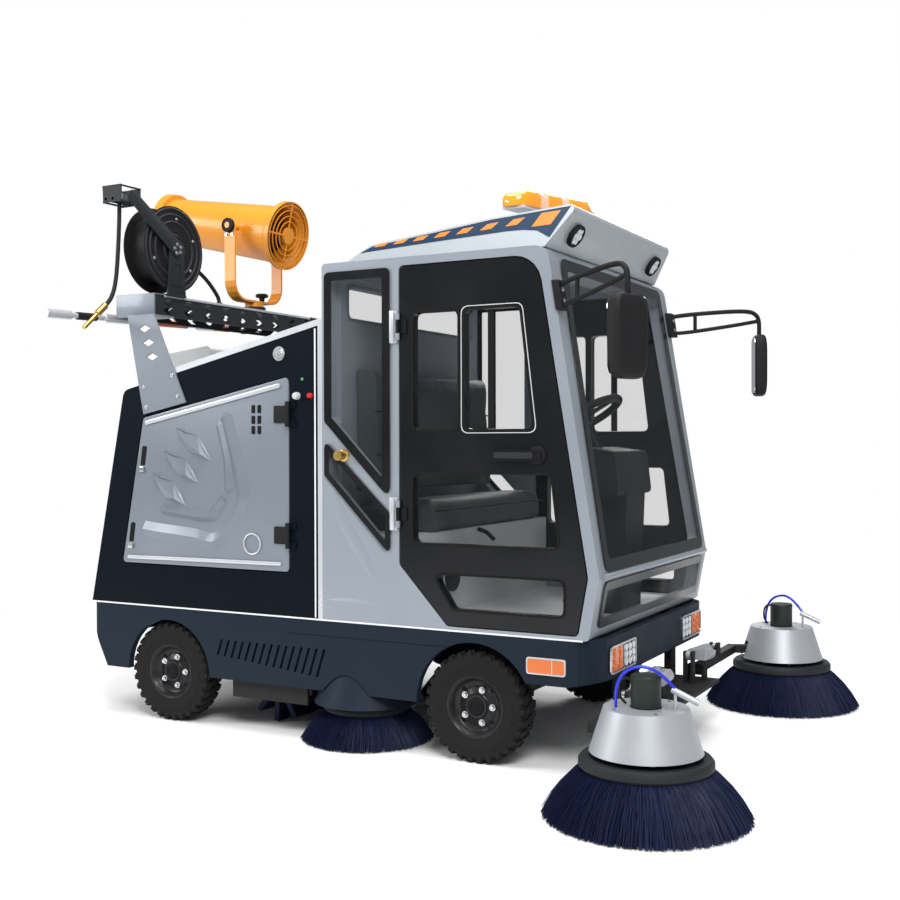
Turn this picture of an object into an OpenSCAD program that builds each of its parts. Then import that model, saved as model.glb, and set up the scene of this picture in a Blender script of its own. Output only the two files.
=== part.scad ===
/* [Running gear] */
// Distance between the axles
wheelbase = 1440; // [1430:5:1500]
// Outer diameter of a tyre
tyre_d = 410; // [396:2:414]
// Width of a tyre
tyre_w = 105; // [98:1:108]
// Distance between the middles of a pair of tyres
wheel_track = 1156; // [1150:2:1160]
// Diameter of a rim's tyre seat
rim_d = 212; // [200:2:224]
// Bore of a wheel hub
hub_bore_d = 50; // [46:1:54]
// Kingpin's distance inboard of the tyre's middle
kingpin_inset = 40; // [37:1:43]
// Front wheel arch radius
front_arch_r = 236; // [232:1:240]
// Rear wheel arch radius
rear_arch_r = 220; // [216:1:226]

/* [Lower body] */
// Overall width of the body
body_w = 1276; // [1270:2:1290]
// Height of the waist, where hopper and cab stand on the frame
waist_z = 480; // [474:2:490]
// Height of the side skirt's lower edge
skirt_low_z = 203; // [196:1:212]
// Thickness of skirt and hopper walls
panel_t = 30; // [26:1:34]
// Body's reach behind the rear axle
rear_overhang = 431; // [420:1:440]
// Bumper's reach ahead of the front axle
bumper_reach = 490; // [482:1:496]
// Radius of the bumper's corners
bumper_corner_r = 120; // [90:5:140]
// Height of a frame rail
rail_h = 100; // [80:2:110]
// Width of a frame rail
rail_w = 60; // [50:2:70]
// Distance between the middles of the frame rails
rail_gauge = 600; // [580:5:620]
// Radius of the tow pin bores
tow_bore_r = 14; // [10:0.5:18]
// Thickness of the tow plates
tow_plate_t = 15; // [10:1:20]

/* [Hopper] */
// Height of the hopper's rear top edge
hopper_rear_z = 1393; // [1380:1:1400]
// Height of the hopper's front top edge
hopper_front_z = 1623; // [1610:1:1640]
// Setback of the hopper's rear top edge
hopper_lean = 188; // [175:1:200]
// Gap left all round a door
door_gap = 5; // [4:0.5:7]

/* [Cab] */
// Cab rear wall's distance behind the front axle
cab_setback = 656; // [650:1:662]
// Cab knee's reach ahead of the front axle
cab_reach = 489; // [480:1:490]
// Height of the cab frame's top
cab_top_z = 1860; // [1850:2:1880]
// Height of the knee under the windscreen
knee_z = 698; // [680:1:710]
// Setback of the windscreen's top
screen_rake = 193; // [180:1:205]
// Setback of the cab's toe below the knee
toe_tuck = 40; // [30:1:50]
// Thickness of the cab's frame and walls
cab_wall = 50; // [44:1:54]
// Thickness of a cab door
cab_door_t = 40; // [34:1:42]
// Thickness of the glass
glass_t = 5; // [4:0.5:6]
// Height of the roof cap at the front
roof_front_h = 158; // [140:1:170]
// Forward lean of the roof's visor
visor_lean = 106; // [90:1:120]

/* [Front brushes] */
// Brush middle's reach ahead of the front axle
brush_reach = 751; // [745:1:760]
// Distance between the front brushes' middles
brush_gauge = 1832; // [1800:4:1860]
// Radius at the bristle tips
brush_r = 338; // [320:1:350]
// Radius of the brush plate
brush_plate_r = 211; // [200:1:220]
// Height of the brush plate's top
brush_plate_z = 190; // [180:1:195]
// Bottom radius of the cone cover
cover_low_r = 178; // [170:1:185]
// Top radius of the cone cover
cover_top_r = 133; // [120:1:140]
// Height of the cone cover's top
cover_top_z = 343; // [330:1:355]
// Radius of the brush motor
motor_r = 46; // [40:1:52]

/* [Middle brushes and broom] */
// Middle brush's distance behind the front axle
mid_setback = 551; // [545:1:560]
// Distance between the middle brushes' middles
mid_gauge = 960; // [940:4:980]
// Radius at the middle brush's bristle tips
mid_r = 270; // [255:1:275]
// Broom's distance ahead of the rear axle
broom_x = 429; // [420:1:440]
// Radius of the main broom
broom_r = 160; // [150:1:165]
// Length of the main broom
broom_len = 900; // [840:10:920]
// Height of every bristle tip above the road
tip_z = 5; // [3:1:8]

/* [Rack, cannon and reel] */
// Height of the rack beam's underside
beam_low_z = 1712; // [1700:2:1730]
// Height of the rack beam
beam_h = 91; // [80:1:100]
// Length of the rack beam
beam_len = 1200; // [1160:10:1240]
// Height of the cannon's pivot above the beam
cannon_rise = 397; // [380:1:420]
// Cannon's distance left of the middle
cannon_y = 200; // [190:2:210]
// Downward pitch of the barrel at rest
cannon_pitch = 11; // [8:0.5:14]
// Barrel's length ahead of its pivot
barrel_front = 210; // [200:1:220]
// Barrel's length behind its pivot
barrel_rear = 545; // [520:1:560]
// Radius of the inlet flare
flare_r = 163; // [155:1:166]
// Radius of the outlet ring
outlet_r = 130; // [120:1:140]
// Radius of the hose reel
reel_r = 187; // [175:1:192]
// Width of the hose reel
reel_w = 115; // [105:1:120]
// Diameter of the washing hose
hose_d = 18; // [14:1:20]

/* [Hidden] */
$fn = 48;

// One overrun serves all cuts, one gap all seats, one clearance all shafts
over = 10;
seat_gap = 0.3;
shaft_gap = 0.05;
corner_steps = 5;
right = -1;
left = 1;

// Running gear
tyre_r = tyre_d / 2;
wheel_y = wheel_track / 2;
rim_r = rim_d / 2;
rim_wall = 5;
stub_r = hub_bore_d / 2 - shaft_gap;
kingpin_y = wheel_y - kingpin_inset;
kingpin_r = 12;
axle_bar = 50;
hub_r = 42;

// Lower body
half_w = body_w / 2;
inner_y = half_w - panel_t;
rear_x = -rear_overhang;
bumper_x = wheelbase + bumper_reach;
bumper_low_z = 313;
bumper_nose_z = 335;
rear_low_z = 377;
rear_tuck = 88;
rail_y = rail_gauge / 2;
rail_low_z = waist_z - rail_h;
outrigger_h = 40;
outrigger_w = 40;
front_plate_z = 185;
front_plate_reach = 145;
rear_plate_reach = 60;
rear_corner_r = 40;
front_plate_x = bumper_x + front_plate_reach;
rear_plate_z = 280;
rear_plate_x = rear_x - rear_plate_reach;
tow_edge = 32;

// Hopper
cab_rear_x = wheelbase - cab_setback;
trim_w = 20;
hopper_x = cab_rear_x - trim_w;
hopper_top_x = rear_x + hopper_lean;
rear_lean = atan2(hopper_lean, hopper_rear_z - waist_z);
top_slope = (hopper_front_z - hopper_rear_z) / (hopper_x - hopper_top_x);
flange_h = 25;
flange_t = 14;

// Cab
knee_x = wheelbase + cab_reach;
cab_face_x = knee_x - screen_rake;
toe_x = knee_x - toe_tuck;
cab_door_setback = 352;
door_rear_x = cab_rear_x + cab_door_setback;
screen_slope = screen_rake / (cab_top_z - knee_z);
floor_t = 20;

// Brushes
brush_x = wheelbase + brush_reach;
brush_y = brush_gauge / 2;
mid_x = wheelbase - mid_setback;
mid_y = mid_gauge / 2;

// Rack
beam_setback = 225;
beam_x = rear_x + beam_setback;
beam_w = 210;
beam_top_z = beam_low_z + beam_h;
cannon_lead = 15;
cannon_x = beam_x + cannon_lead;
cannon_z = beam_top_z + cannon_rise;

// The middle of the whole length comes to the origin
front_end = brush_x + brush_r;
rear_end = cannon_x - barrel_rear * cos(cannon_pitch) - outlet_r * sin(cannon_pitch);
middle_x = (front_end + rear_end) / 2;

function unit(v) = v / norm(v);
function at(list, i) = list[(i + len(list)) % len(list)];
function pick(r, i) = is_list(r) ? r[i] : r;
function turn(a) = a > 180 ? a - 360 : a < -180 ? a + 360 : a;
function angle_of(v) = atan2(v[1], v[0]);
function corner(p, q, s, r) =
    let (u = unit(p - q), w = unit(s - q), half = acos(u * w) / 2,
        middle = q + unit(u + w) * r / sin(half),
        first = angle_of(q + u * r / tan(half) - middle),
        sweep = turn(angle_of(q + w * r / tan(half) - middle) - first))
    [for (i = [0:corner_steps])
        middle + r * [cos(first + sweep * i / corner_steps), sin(first + sweep * i / corner_steps)]];
// Polygon with its corners rounded by r, one radius or one for each corner
function rounded(pts, r) = [for (i = [0:len(pts) - 1])
    each (pick(r, i) > 0 ? corner(at(pts, i - 1), pts[i], at(pts, i + 1), pick(r, i)) : [pts[i]])];
function left_of(v) = [-v[1], v[0]];
// Polygon drawn anticlockwise, moved inwards by d
function inset(pts, d) = [for (i = [0:len(pts) - 1])
    let (n = left_of(unit(pts[i] - at(pts, i - 1))), m = left_of(unit(at(pts, i + 1) - pts[i])))
    pts[i] + d * (n + m) / (1 + n * m)];
function box_pts(x0, y0, x1, y1) = [[x0, y0], [x1, y0], [x1, y1], [x0, y1]];

module centred() translate([-middle_x, 0, 0]) children();
module handed(side) mirror([0, side < 0 ? 1 : 0, 0]) children();
module both_sides() {
    children();
    mirror([0, 1, 0]) children();
}
// Outline in X and Z, between two Y planes
module side_plate(pts, y0, y1)
    translate([0, y1, 0]) rotate([90, 0, 0]) linear_extrude(y1 - y0) polygon(pts);
// Outline in Y and Z, between two X planes
module front_plate(pts, x0, x1)
    translate([x0, 0, 0]) rotate([90, 0, 90]) linear_extrude(x1 - x0) polygon(pts);
module box(p, q) translate(p) cube(q - p);
module rod(p, q, r)
    let (d = q - p)
    translate(p) rotate([0, acos(d[2] / norm(d)), atan2(d[1], d[0])]) cylinder(h = norm(d), r = r);
module pin_x(x0, x1, y, z, r) translate([x0, y, z]) rotate([0, 90, 0]) cylinder(h = x1 - x0, r = r);
module pin_y(y0, y1, x, z, r) translate([x, y0, z]) rotate([-90, 0, 0]) cylinder(h = y1 - y0, r = r);

// Round tube along a route of points
tube_sides = 10;
function tangent(route, i) =
    unit(route[min(i + 1, len(route) - 1)] - route[max(i - 1, 0)]);
function across(t) = unit(cross(t, abs(t[0]) < 0.8 ? [1, 0, 0] : [0, 1, 0]));
module tube(route, d) {
    rings = [for (i = [0:len(route) - 1])
        let (t = tangent(route, i), u = across(t), w = cross(t, u))
        for (k = [0:tube_sides - 1])
            route[i] + d / 2 * (cos(360 * k / tube_sides) * u + sin(360 * k / tube_sides) * w)];
    last = (len(route) - 1) * tube_sides;
    polyhedron(rings, concat(
        [[for (k = [0:tube_sides - 1]) k]],
        [for (i = [0:len(route) - 2]) for (k = [0:tube_sides - 1])
            let (a = i * tube_sides, b = a + tube_sides, n = (k + 1) % tube_sides)
            each [[a + k, b + k, b + n], [a + k, b + n, a + n]]],
        [[for (k = [tube_sides - 1:-1:0]) last + k]]));
}

// Butt hinge along Z with its pin at the origin, the leaves lying towards -X and +X
hinge_len = 100;
hinge_r = 8;
hinge_pin_r = 5;
hinge_leaf = 34;
hinge_leaf_t = 6;
hinge_off = 12;
hinge_gap = 0.5;
hinge_sink = 2;
module hinge_leaf_bar(toward, low, high)
    box([min(0, toward * hinge_leaf), -hinge_off - hinge_sink, low],
        [max(0, toward * hinge_leaf), hinge_leaf_t - hinge_off, high]);
// The middle knuckle, on the door
module hinge_moving(toward) difference() {
    union() {
        translate([0, 0, -hinge_len / 4]) cylinder(h = hinge_len / 2, r = hinge_r);
        hinge_leaf_bar(toward, -hinge_len / 4, hinge_len / 4);
    }
    translate([0, 0, -hinge_len]) cylinder(h = 2 * hinge_len, r = hinge_pin_r + shaft_gap);
}
// The outer knuckles with the pin, on the body
module hinge_fixed(toward) {
    cylinder(h = hinge_len, r = hinge_pin_r, center = true);
    for (end = [-1, 1]) translate([0, 0, end * (3 * hinge_len / 8 + hinge_gap / 2)]) {
        cylinder(h = hinge_len / 4 - hinge_gap, r = hinge_r, center = true);
        hinge_leaf_bar(toward, -hinge_len / 8 + hinge_gap / 2, hinge_len / 8 - hinge_gap / 2);
    }
}

// Frame rails, cross members, brush carrier and tow plates
cross_shares = [0, 0.46, 0.68, 1];
outrigger_xs = [rear_x + 2 * panel_t + outrigger_w / 2, mid_x - mid_r + outrigger_w / 2, mid_x,
    wheelbase - front_arch_r - outrigger_w, bumper_x - bumper_corner_r - outrigger_w / 2];
rail_rear_gap = 51;
rail_front_gap = 40;
arm_reach = 60;
rail_rear_x = rear_x + rail_rear_gap;
rail_front_x = bumper_x - rail_front_gap;
ear_t = 10;
arm_x = bumper_x + arm_reach;
arm_pivot_y = 300;
arm_pivot_z = 235;
arm_pin_r = 12;
arm_barrel_r = 22;
arm_barrel_w = 46;
act_y = 190;
act_z = 310;
act_pin_r = 8;
act_eye_w = 16;
lug_y = 560;
lug_z = 290;
module ear_pair(x, gap, y, low, high, half) for (end = [-1, 1])
    translate([x + end * (gap + ear_t) / 2, y, 0])
        box([-ear_t / 2, -half, low], [ear_t / 2, half, high]);
module chassis_frame() color([0.12, 0.12, 0.13]) centred() difference() {
    union() {
        both_sides() {
            box([rail_rear_x, rail_y - rail_w / 2, rail_low_z],
                [rail_front_x, rail_y + rail_w / 2, waist_z]);
            for (x = outrigger_xs)
                box([x - outrigger_w / 2, rail_y, waist_z - outrigger_h],
                    [x + outrigger_w / 2, inner_y, waist_z]);
            // Leg from the rail down to the brush carrier
            box([rail_front_x - rail_w / 2, rail_y - rail_w / 2, front_plate_z],
                [rail_front_x, rail_y + rail_w / 2, rail_low_z + over]);
            ear_pair(arm_x, arm_barrel_w + ear_t / 2, arm_pivot_y, front_plate_z,
                arm_pivot_z + arm_barrel_r, arm_barrel_r + ear_t / 2);
            pin_x(arm_x - arm_barrel_w / 2 - ear_t, arm_x + arm_barrel_w / 2 + ear_t,
                arm_pivot_y, arm_pivot_z, arm_pin_r);
            ear_pair(arm_x, act_eye_w + ear_t / 2, act_y, front_plate_z,
                act_z + 2 * act_pin_r, 2 * act_pin_r);
            pin_x(arm_x - act_eye_w / 2 - ear_t, arm_x + act_eye_w / 2 + ear_t, act_y, act_z, act_pin_r);
        }
        for (s = cross_shares)
            let (x = rail_rear_x + s * (rail_front_x - rail_rear_x - rail_w))
            box([x, -rail_y, rail_low_z + rail_h / 5], [x + rail_w, rail_y, waist_z - rail_h / 5]);
        box([rail_front_x - rail_w / 2, -rail_y - rail_w / 2, front_plate_z],
            [front_plate_x, rail_y + rail_w / 2, front_plate_z + tow_plate_t]);
        box([rear_plate_x, -2 * tow_edge, rear_plate_z],
            [rail_rear_x + rail_w / 2, 2 * tow_edge, rear_plate_z + tow_plate_t]);
        box([rail_rear_x, -2 * tow_edge, rear_plate_z], [rail_rear_x + rail_w / 2, 2 * tow_edge,
            waist_z - rail_h / 2]);
    }
    for (hole = [[front_plate_x - tow_edge, front_plate_z], [rear_plate_x + tow_edge, rear_plate_z]])
        translate([hole[0], 0, hole[1] - over]) cylinder(h = tow_plate_t + 2 * over, r = tow_bore_r);
}

// Front beam with kingpin forks, rear beam with its drive housing, and their spring blocks
fork_gap = 104;
fork_t = 14;
fork_half = 25;
drive_r = 88;
module axles() color([0.1, 0.1, 0.11]) centred() {
    translate([wheelbase, 0, tyre_r]) both_sides() {
        box([-axle_bar / 2, 0, -axle_bar / 2], [axle_bar / 2, kingpin_y - 2 * fork_half, axle_bar / 2]);
        box([-fork_half, kingpin_y - 3 * fork_half, -fork_gap / 2 - fork_t],
            [fork_half, kingpin_y - 2 * fork_half, fork_gap / 2 + fork_t]);
        for (end = [-1, 1]) translate([0, 0, end * (fork_gap + fork_t) / 2])
            box([-fork_half, kingpin_y - 3 * fork_half, -fork_t / 2], [fork_half, kingpin_y + fork_half,
                fork_t / 2]);
        translate([0, kingpin_y, 0]) cylinder(h = fork_gap + 2 * fork_t, r = kingpin_r, center = true);
        box([-axle_bar, rail_y - rail_w / 2, 0], [axle_bar, rail_y + rail_w / 2, rail_low_z - tyre_r]);
    }
    translate([0, 0, tyre_r]) {
        both_sides() {
            box([-axle_bar / 2, 0, -axle_bar / 2], [axle_bar / 2, wheel_y - tyre_w / 2 - over,
                axle_bar / 2]);
            pin_y(0, wheel_y + tyre_w / 4, 0, 0, stub_r);
            box([-axle_bar, rail_y - rail_w / 2, 0], [axle_bar, rail_y + rail_w / 2, rail_low_z - tyre_r]);
        }
        sphere(r = drive_r);
        pin_x(-2.2 * drive_r, 0, 0, 0, 0.75 * drive_r);
    }
}

// Skirt and bumper: one band round the body with arches, louvres and lamp pockets
louvre_count = 15;
louvre_x = 259;
louvre_pitch = 35;
louvre_w = 12;
louvre_low_z = 300;
louvre_drop = 50;
louvre_high_z = 364;
louvre_lean = 75;
seam_z = 415;
seam_w = 4;
lamp_in_y = 280;
lamp_out_y = 540;
lamp_low_z = 350;
lamp_high_z = 450;
lamp_split = 410;
lamp_back = 25;
lamp_proud = 6;
lamp_r = 18;
cover_clear = 6;
mid_cover_low_r = 210;
mid_cover_top_r = 146;
mid_cover_low_z = 150;
mid_cover_top_z = 285;
module headlamp_outline(y0, y1, grow, x0, x1)
    front_plate(rounded(box_pts(y0 - grow, lamp_low_z - grow, y1 + grow, lamp_high_z + grow), lamp_r),
        x0, x1);
module band(grow, low, high) translate([0, 0, low]) linear_extrude(high - low)
    polygon(rounded(inset(box_pts(rear_x, -half_w, bumper_x, half_w), grow),
        [rear_corner_r - grow, bumper_corner_r - grow, bumper_corner_r - grow, rear_corner_r - grow]));
module skirt() color([0.16, 0.2, 0.26]) centred() difference() {
    intersection() {
        difference() {
            band(0, skirt_low_z - over, waist_z);
            band(panel_t, 0, waist_z + over);
        }
        side_plate([[rear_x, rear_low_z], [rear_x + rear_tuck, skirt_low_z], [wheelbase, skirt_low_z],
            [wheelbase, bumper_low_z], [bumper_x - bumper_corner_r, bumper_low_z], [bumper_x,
                bumper_nose_z],
            [bumper_x, waist_z], [rear_x, waist_z]], -half_w - over, half_w + over);
    }
    pin_y(-half_w - over, half_w + over, wheelbase, tyre_r, front_arch_r);
    pin_y(-half_w - over, half_w + over, 0, tyre_r, rear_arch_r);
    for (i = [0:louvre_count - 1])
        let (x = louvre_x + i * louvre_pitch, low = louvre_low_z - louvre_drop * i / louvre_count,
            lean = louvre_lean * (louvre_high_z - low) / (louvre_high_z - louvre_low_z + louvre_drop))
        both_sides() side_plate([[x, low], [x + louvre_w, low], [x + louvre_w + lean / 2, louvre_high_z],
            [x + lean / 2, louvre_high_z]], inner_y - over, half_w + over);
    both_sides() {
        box([mid_x - mid_r - seam_w, half_w - seam_w / 2, seam_z], [wheelbase - front_arch_r / 4,
            half_w + over, seam_z + seam_w]);
        translate([mid_x, mid_y, mid_cover_low_z])
            cylinder(h = mid_cover_top_z - mid_cover_low_z, r1 = mid_cover_low_r + cover_clear,
                r2 = mid_cover_top_r + cover_clear);
        headlamp_outline(lamp_in_y, lamp_out_y, seat_gap, bumper_x - lamp_back, bumper_x + over);
    }
}

// Side doors of the hopper: corners as shares of the hopper's length and of its wall's height
door_len_shares = [0.15, 0.883, 0.884, 0.249];
door_low_share = 0.155;
door_rear_share = 0.87;
door_front_share = 0.829;
hopper_len = hopper_x - rear_x;
door_low_z = waist_z + door_low_share * (hopper_front_z - waist_z);
door_pts = [[rear_x + door_len_shares[0] * hopper_len, door_low_z],
    [rear_x + door_len_shares[1] * hopper_len, door_low_z],
    [rear_x + door_len_shares[2] * hopper_len, waist_z + door_front_share * (hopper_front_z - waist_z)],
    [rear_x + door_len_shares[3] * hopper_len, waist_z + door_rear_share * (hopper_rear_z - waist_z)]];
door_corner_r = 25;
door_hinge_x = door_pts[1][0] + door_gap / 2;
door_hinge_zs = [800, 1280];
door_hinge_y = half_w + hinge_off;
// Rear door, measured up the leaning wall
rear_door_low = 90;
rear_door_high = 830;
rear_door_half = 530;
rear_hinge_ys = [-380, 0, 380];
module on_rear_wall() translate([rear_x, 0, waist_z]) rotate([0, rear_lean, 0]) children();
module rear_hinge_place() for (y = rear_hinge_ys)
    on_rear_wall() translate([-hinge_off, y, rear_door_high + door_gap / 2]) rotate([90, -90, 0])
        children();
hopper_pts = [[rear_x, waist_z], [hopper_x, waist_z], [hopper_x, hopper_front_z], [hopper_top_x,
    hopper_rear_z]];
module hopper_body() color([0.1, 0.14, 0.18]) centred() {
    difference() {
        side_plate(rounded(hopper_pts, [0, 0, 0, rear_corner_r]), -half_w, half_w);
        side_plate(inset(hopper_pts, panel_t), -inner_y, inner_y);
        for (side = [right, left]) handed(side)
            side_plate(rounded(inset(door_pts, -door_gap), door_corner_r + door_gap), inner_y - over,
                half_w + over);
        on_rear_wall() front_plate(rounded(box_pts(-rear_door_half - door_gap, rear_door_low - door_gap,
            rear_door_half + door_gap, rear_door_high + door_gap), door_corner_r + door_gap), -over,
                panel_t + over);
    }
    for (side = [right, left]) handed(side) for (z = door_hinge_zs)
        translate([door_hinge_x, door_hinge_y, z]) hinge_fixed(1);
    rear_hinge_place() hinge_fixed(1);
}

// Pressed pattern of a side door, as shares of its length and height
door_low_x = door_pts[0][0];
door_len = door_pts[1][0] - door_pts[0][0];
door_h = door_pts[3][1] - door_pts[0][1];
press_t = 5;
diamond_shares = [[0.4, 0.85], [0.3, 0.62], [0.2, 0.4]];
diamond_w_share = 0.13;
rib_w_share = 0.035;
sweep_shares = [[0.12, 0.2], [0.47, 0.2], [0.6, 0.36], [0.62, 0.96]];
vent_col_shares = [[0.72, 0.785], [0.805, 0.87]];
vent_row_shares = [0.84, 0.9, 0.96];
low_rib_shares = [[0.05, 0.06], [0.95, 0.06]];
diamond_h = 13;
boss_share = [0.76, 0.16];
boss_r = 40;
function on_door(s) = [door_low_x + s[0] * door_len, door_low_z + s[1] * door_h];
module door_bar(a, b, w) side_plate(
    let (p = on_door(a), q = on_door(b), n = left_of(unit(q - p)) * w / 2)
    [p - n, q - n, q + n, p + n], half_w - over, half_w + press_t);
module side_door(side) color([0.1, 0.14, 0.18]) centred() handed(side) {
    difference() {
        union() {
            side_plate(rounded(door_pts, door_corner_r), inner_y, half_w);
            for (s = diamond_shares) let (c = on_door(s), w = diamond_w_share * door_len)
                translate([c[0], half_w - over, c[1]]) polyhedron([[-w, 0, w / 3], [w / 4, 0, -w], [w,
                    0, -w / 3],
                    [-w / 4, 0, w], [0, diamond_h, 0]], [[0, 1, 2, 3], [1, 0, 4], [2, 1, 4], [3, 2, 4],
                        [0, 3, 4]]);
            for (i = [0:len(sweep_shares) - 2])
                door_bar(sweep_shares[i], sweep_shares[i + 1], 2 * rib_w_share * door_len);
            for (i = [1:len(sweep_shares) - 2]) let (c = on_door(sweep_shares[i]))
                pin_y(half_w - over, half_w + press_t, c[0], c[1], rib_w_share * door_len);
            let (c = on_door(boss_share)) pin_y(half_w - over, half_w + press_t, c[0], c[1], boss_r);
            door_bar(low_rib_shares[0], low_rib_shares[1], rib_w_share * door_len);
        }
        for (c = vent_col_shares) for (r = vent_row_shares)
            door_bar([c[0], r], [c[1], r], rib_w_share * door_h / 2);
    }
    for (z = door_hinge_zs) translate([door_hinge_x, door_hinge_y, z]) hinge_moving(-1);
}
module rear_door() color([0.1, 0.14, 0.18]) centred() {
    on_rear_wall() {
        front_plate(rounded(box_pts(-rear_door_half, rear_door_low, rear_door_half, rear_door_high),
            door_corner_r), 0, panel_t);
        for (z = [rear_door_low, (rear_door_low + rear_door_high) / 2])
            front_plate(rounded(box_pts(-rear_door_half + 2 * panel_t, z + 2 * panel_t,
                rear_door_half - 2 * panel_t,
                z + (rear_door_high - rear_door_low) / 2 - 2 * panel_t), door_corner_r), -press_t, over);
    }
    rear_hinge_place() hinge_moving(-1);
}

// Silver edge strips on the hopper's top and the strip between hopper and cab
function hopper_top(x) = hopper_rear_z + (x - hopper_top_x) * top_slope;
strut_front_x = 106;
flange_setback = 60;
flange_x = strut_front_x - flange_setback;
module body_trim() color([0.75, 0.77, 0.8]) centred() both_sides() {
    side_plate([[flange_x, hopper_top(flange_x)], [hopper_x, hopper_top(hopper_x)],
        [hopper_x, hopper_top(hopper_x) + flange_h], [flange_x, hopper_top(flange_x) + flange_h]],
        half_w - flange_t, half_w);
    box([hopper_x, half_w - panel_t, waist_z], [cab_rear_x, half_w, hopper_top(hopper_x) + flange_h]);
}
filter_rear_x = -190;
filter_front_x = 60;
filter_half = 430;
filter_rear_z = 1560;
filter_front_z = 1590;
filter_r = 20;
module filter_cover() color([0.8, 0.81, 0.82]) centred()
    side_plate(rounded([[filter_rear_x, hopper_top(filter_rear_x)], [filter_front_x,
        hopper_top(filter_front_x)],
        [filter_front_x, filter_front_z], [filter_rear_x, filter_rear_z]], [0, 0, filter_r, filter_r]),
        -filter_half, filter_half);

// Cab outline from the side, anticlockwise from the rear foot
cab_pts = [[cab_rear_x, waist_z], [toe_x, waist_z], [knee_x, knee_z], [cab_face_x, cab_top_z],
    [cab_rear_x, cab_top_z]];
cab_radii = [0, 15, 40, 60, 15];
cab_space_pts = inset([[cab_rear_x, waist_z - cab_wall - over], [toe_x, waist_z - cab_wall - over],
    [toe_x, waist_z],
    [knee_x, knee_z], [cab_face_x, cab_top_z], [cab_rear_x, cab_top_z]], cab_wall);
function face_x(z) = z > knee_z ? knee_x - (z - knee_z) * screen_slope
    : knee_x - (knee_z - z) * toe_tuck / (knee_z - waist_z);
// Cab door outline: distances from the rear edge and from the face
sill_h = 18;
header_h = 36;
cab_door_low_z = waist_z + sill_h;
cab_door_top_z = cab_top_z - header_h;
cab_door_cut = [201, 215];
pillar_w = 46;
cab_door_pts = [[door_rear_x + cab_door_cut[0], cab_door_low_z], [face_x(cab_door_low_z) - pillar_w,
    cab_door_low_z],
    [face_x(knee_z) - pillar_w, knee_z], [face_x(cab_door_top_z) - pillar_w, cab_door_top_z],
    [door_rear_x, cab_door_top_z], [door_rear_x, cab_door_low_z + cab_door_cut[1]]];
cab_door_radii = [20, 20, 40, 110, 20, 20];
quarter_rear_gap = 28;
quarter_front_gap = 55;
quarter_low_z = 1263;
quarter_slot_zs = [1036, 887, 1162];
quarter_x0 = cab_rear_x + quarter_rear_gap;
quarter_x1 = door_rear_x - quarter_front_gap;
quarter_slant = 277;
quarter_pts = [[quarter_x0, quarter_low_z], [quarter_x1, quarter_low_z - quarter_slant],
    [quarter_x1, cab_top_z - cab_wall], [quarter_x0, cab_top_z - cab_wall]];
quarter_low_pts = [[quarter_x0, quarter_slot_zs[0]], [quarter_x1, quarter_slot_zs[0] - quarter_slant],
    [quarter_x1, quarter_slot_zs[1]], [quarter_x0, quarter_slot_zs[2]]];
window_r = 22;
pane_lap = 14;
screen_sill = 30;
toe_header = 32;
screen_low_z = knee_z + screen_sill;
screen_top_z = cab_top_z - cab_wall;
screen_low_half = 568;
screen_top_half = 534;
toe_window_low_z = waist_z + cab_wall;
toe_window_top_z = knee_z - toe_header;
rear_window_low_z = 1660;
rear_window_half = 520;
screen_pts = [[-screen_low_half, screen_low_z], [screen_low_half, screen_low_z], [screen_top_half,
    screen_top_z], [-screen_top_half, screen_top_z]];
toe_window_pts = box_pts(-screen_low_half, toe_window_low_z, screen_low_half, toe_window_top_z);
rear_window_pts = box_pts(-rear_window_half, rear_window_low_z, rear_window_half,
    cab_top_z - cab_wall - 2 * pane_lap);
roof_hole_edge = 90;
cab_hinge_zs = [900, 1600];
cab_hinge_x = door_rear_x - door_gap / 2;
module cab_frame() color([0.62, 0.65, 0.69]) centred() {
    difference() {
        side_plate(rounded(cab_pts, cab_radii), -half_w, half_w);
        side_plate(cab_space_pts, -half_w + cab_wall, half_w - cab_wall);
        for (side = [right, left]) handed(side) {
            side_plate(rounded(inset(cab_door_pts, -door_gap), cab_door_radii),
                half_w - cab_wall - over, half_w + over);
            for (pts = [quarter_pts, quarter_low_pts])
                side_plate(rounded(pts, window_r), half_w - cab_wall - over, half_w + over);
        }
        front_plate(rounded(screen_pts, 2 * window_r), cab_face_x - 2 * cab_wall, knee_x + over);
        front_plate(rounded(toe_window_pts, window_r), toe_x - 2 * cab_wall, knee_x + over);
        front_plate(rounded(rear_window_pts, window_r), cab_rear_x - over, cab_rear_x + cab_wall + over);
        box([cab_rear_x + roof_hole_edge, -half_w + roof_hole_edge, cab_top_z - cab_wall - over],
            [cab_face_x - 2 * roof_hole_edge, half_w - roof_hole_edge, cab_top_z + over]);
    }
    for (side = [right, left]) handed(side) for (z = cab_hinge_zs)
        translate([cab_hinge_x, half_w + hinge_off, z]) hinge_fixed(-1);
}

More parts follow.
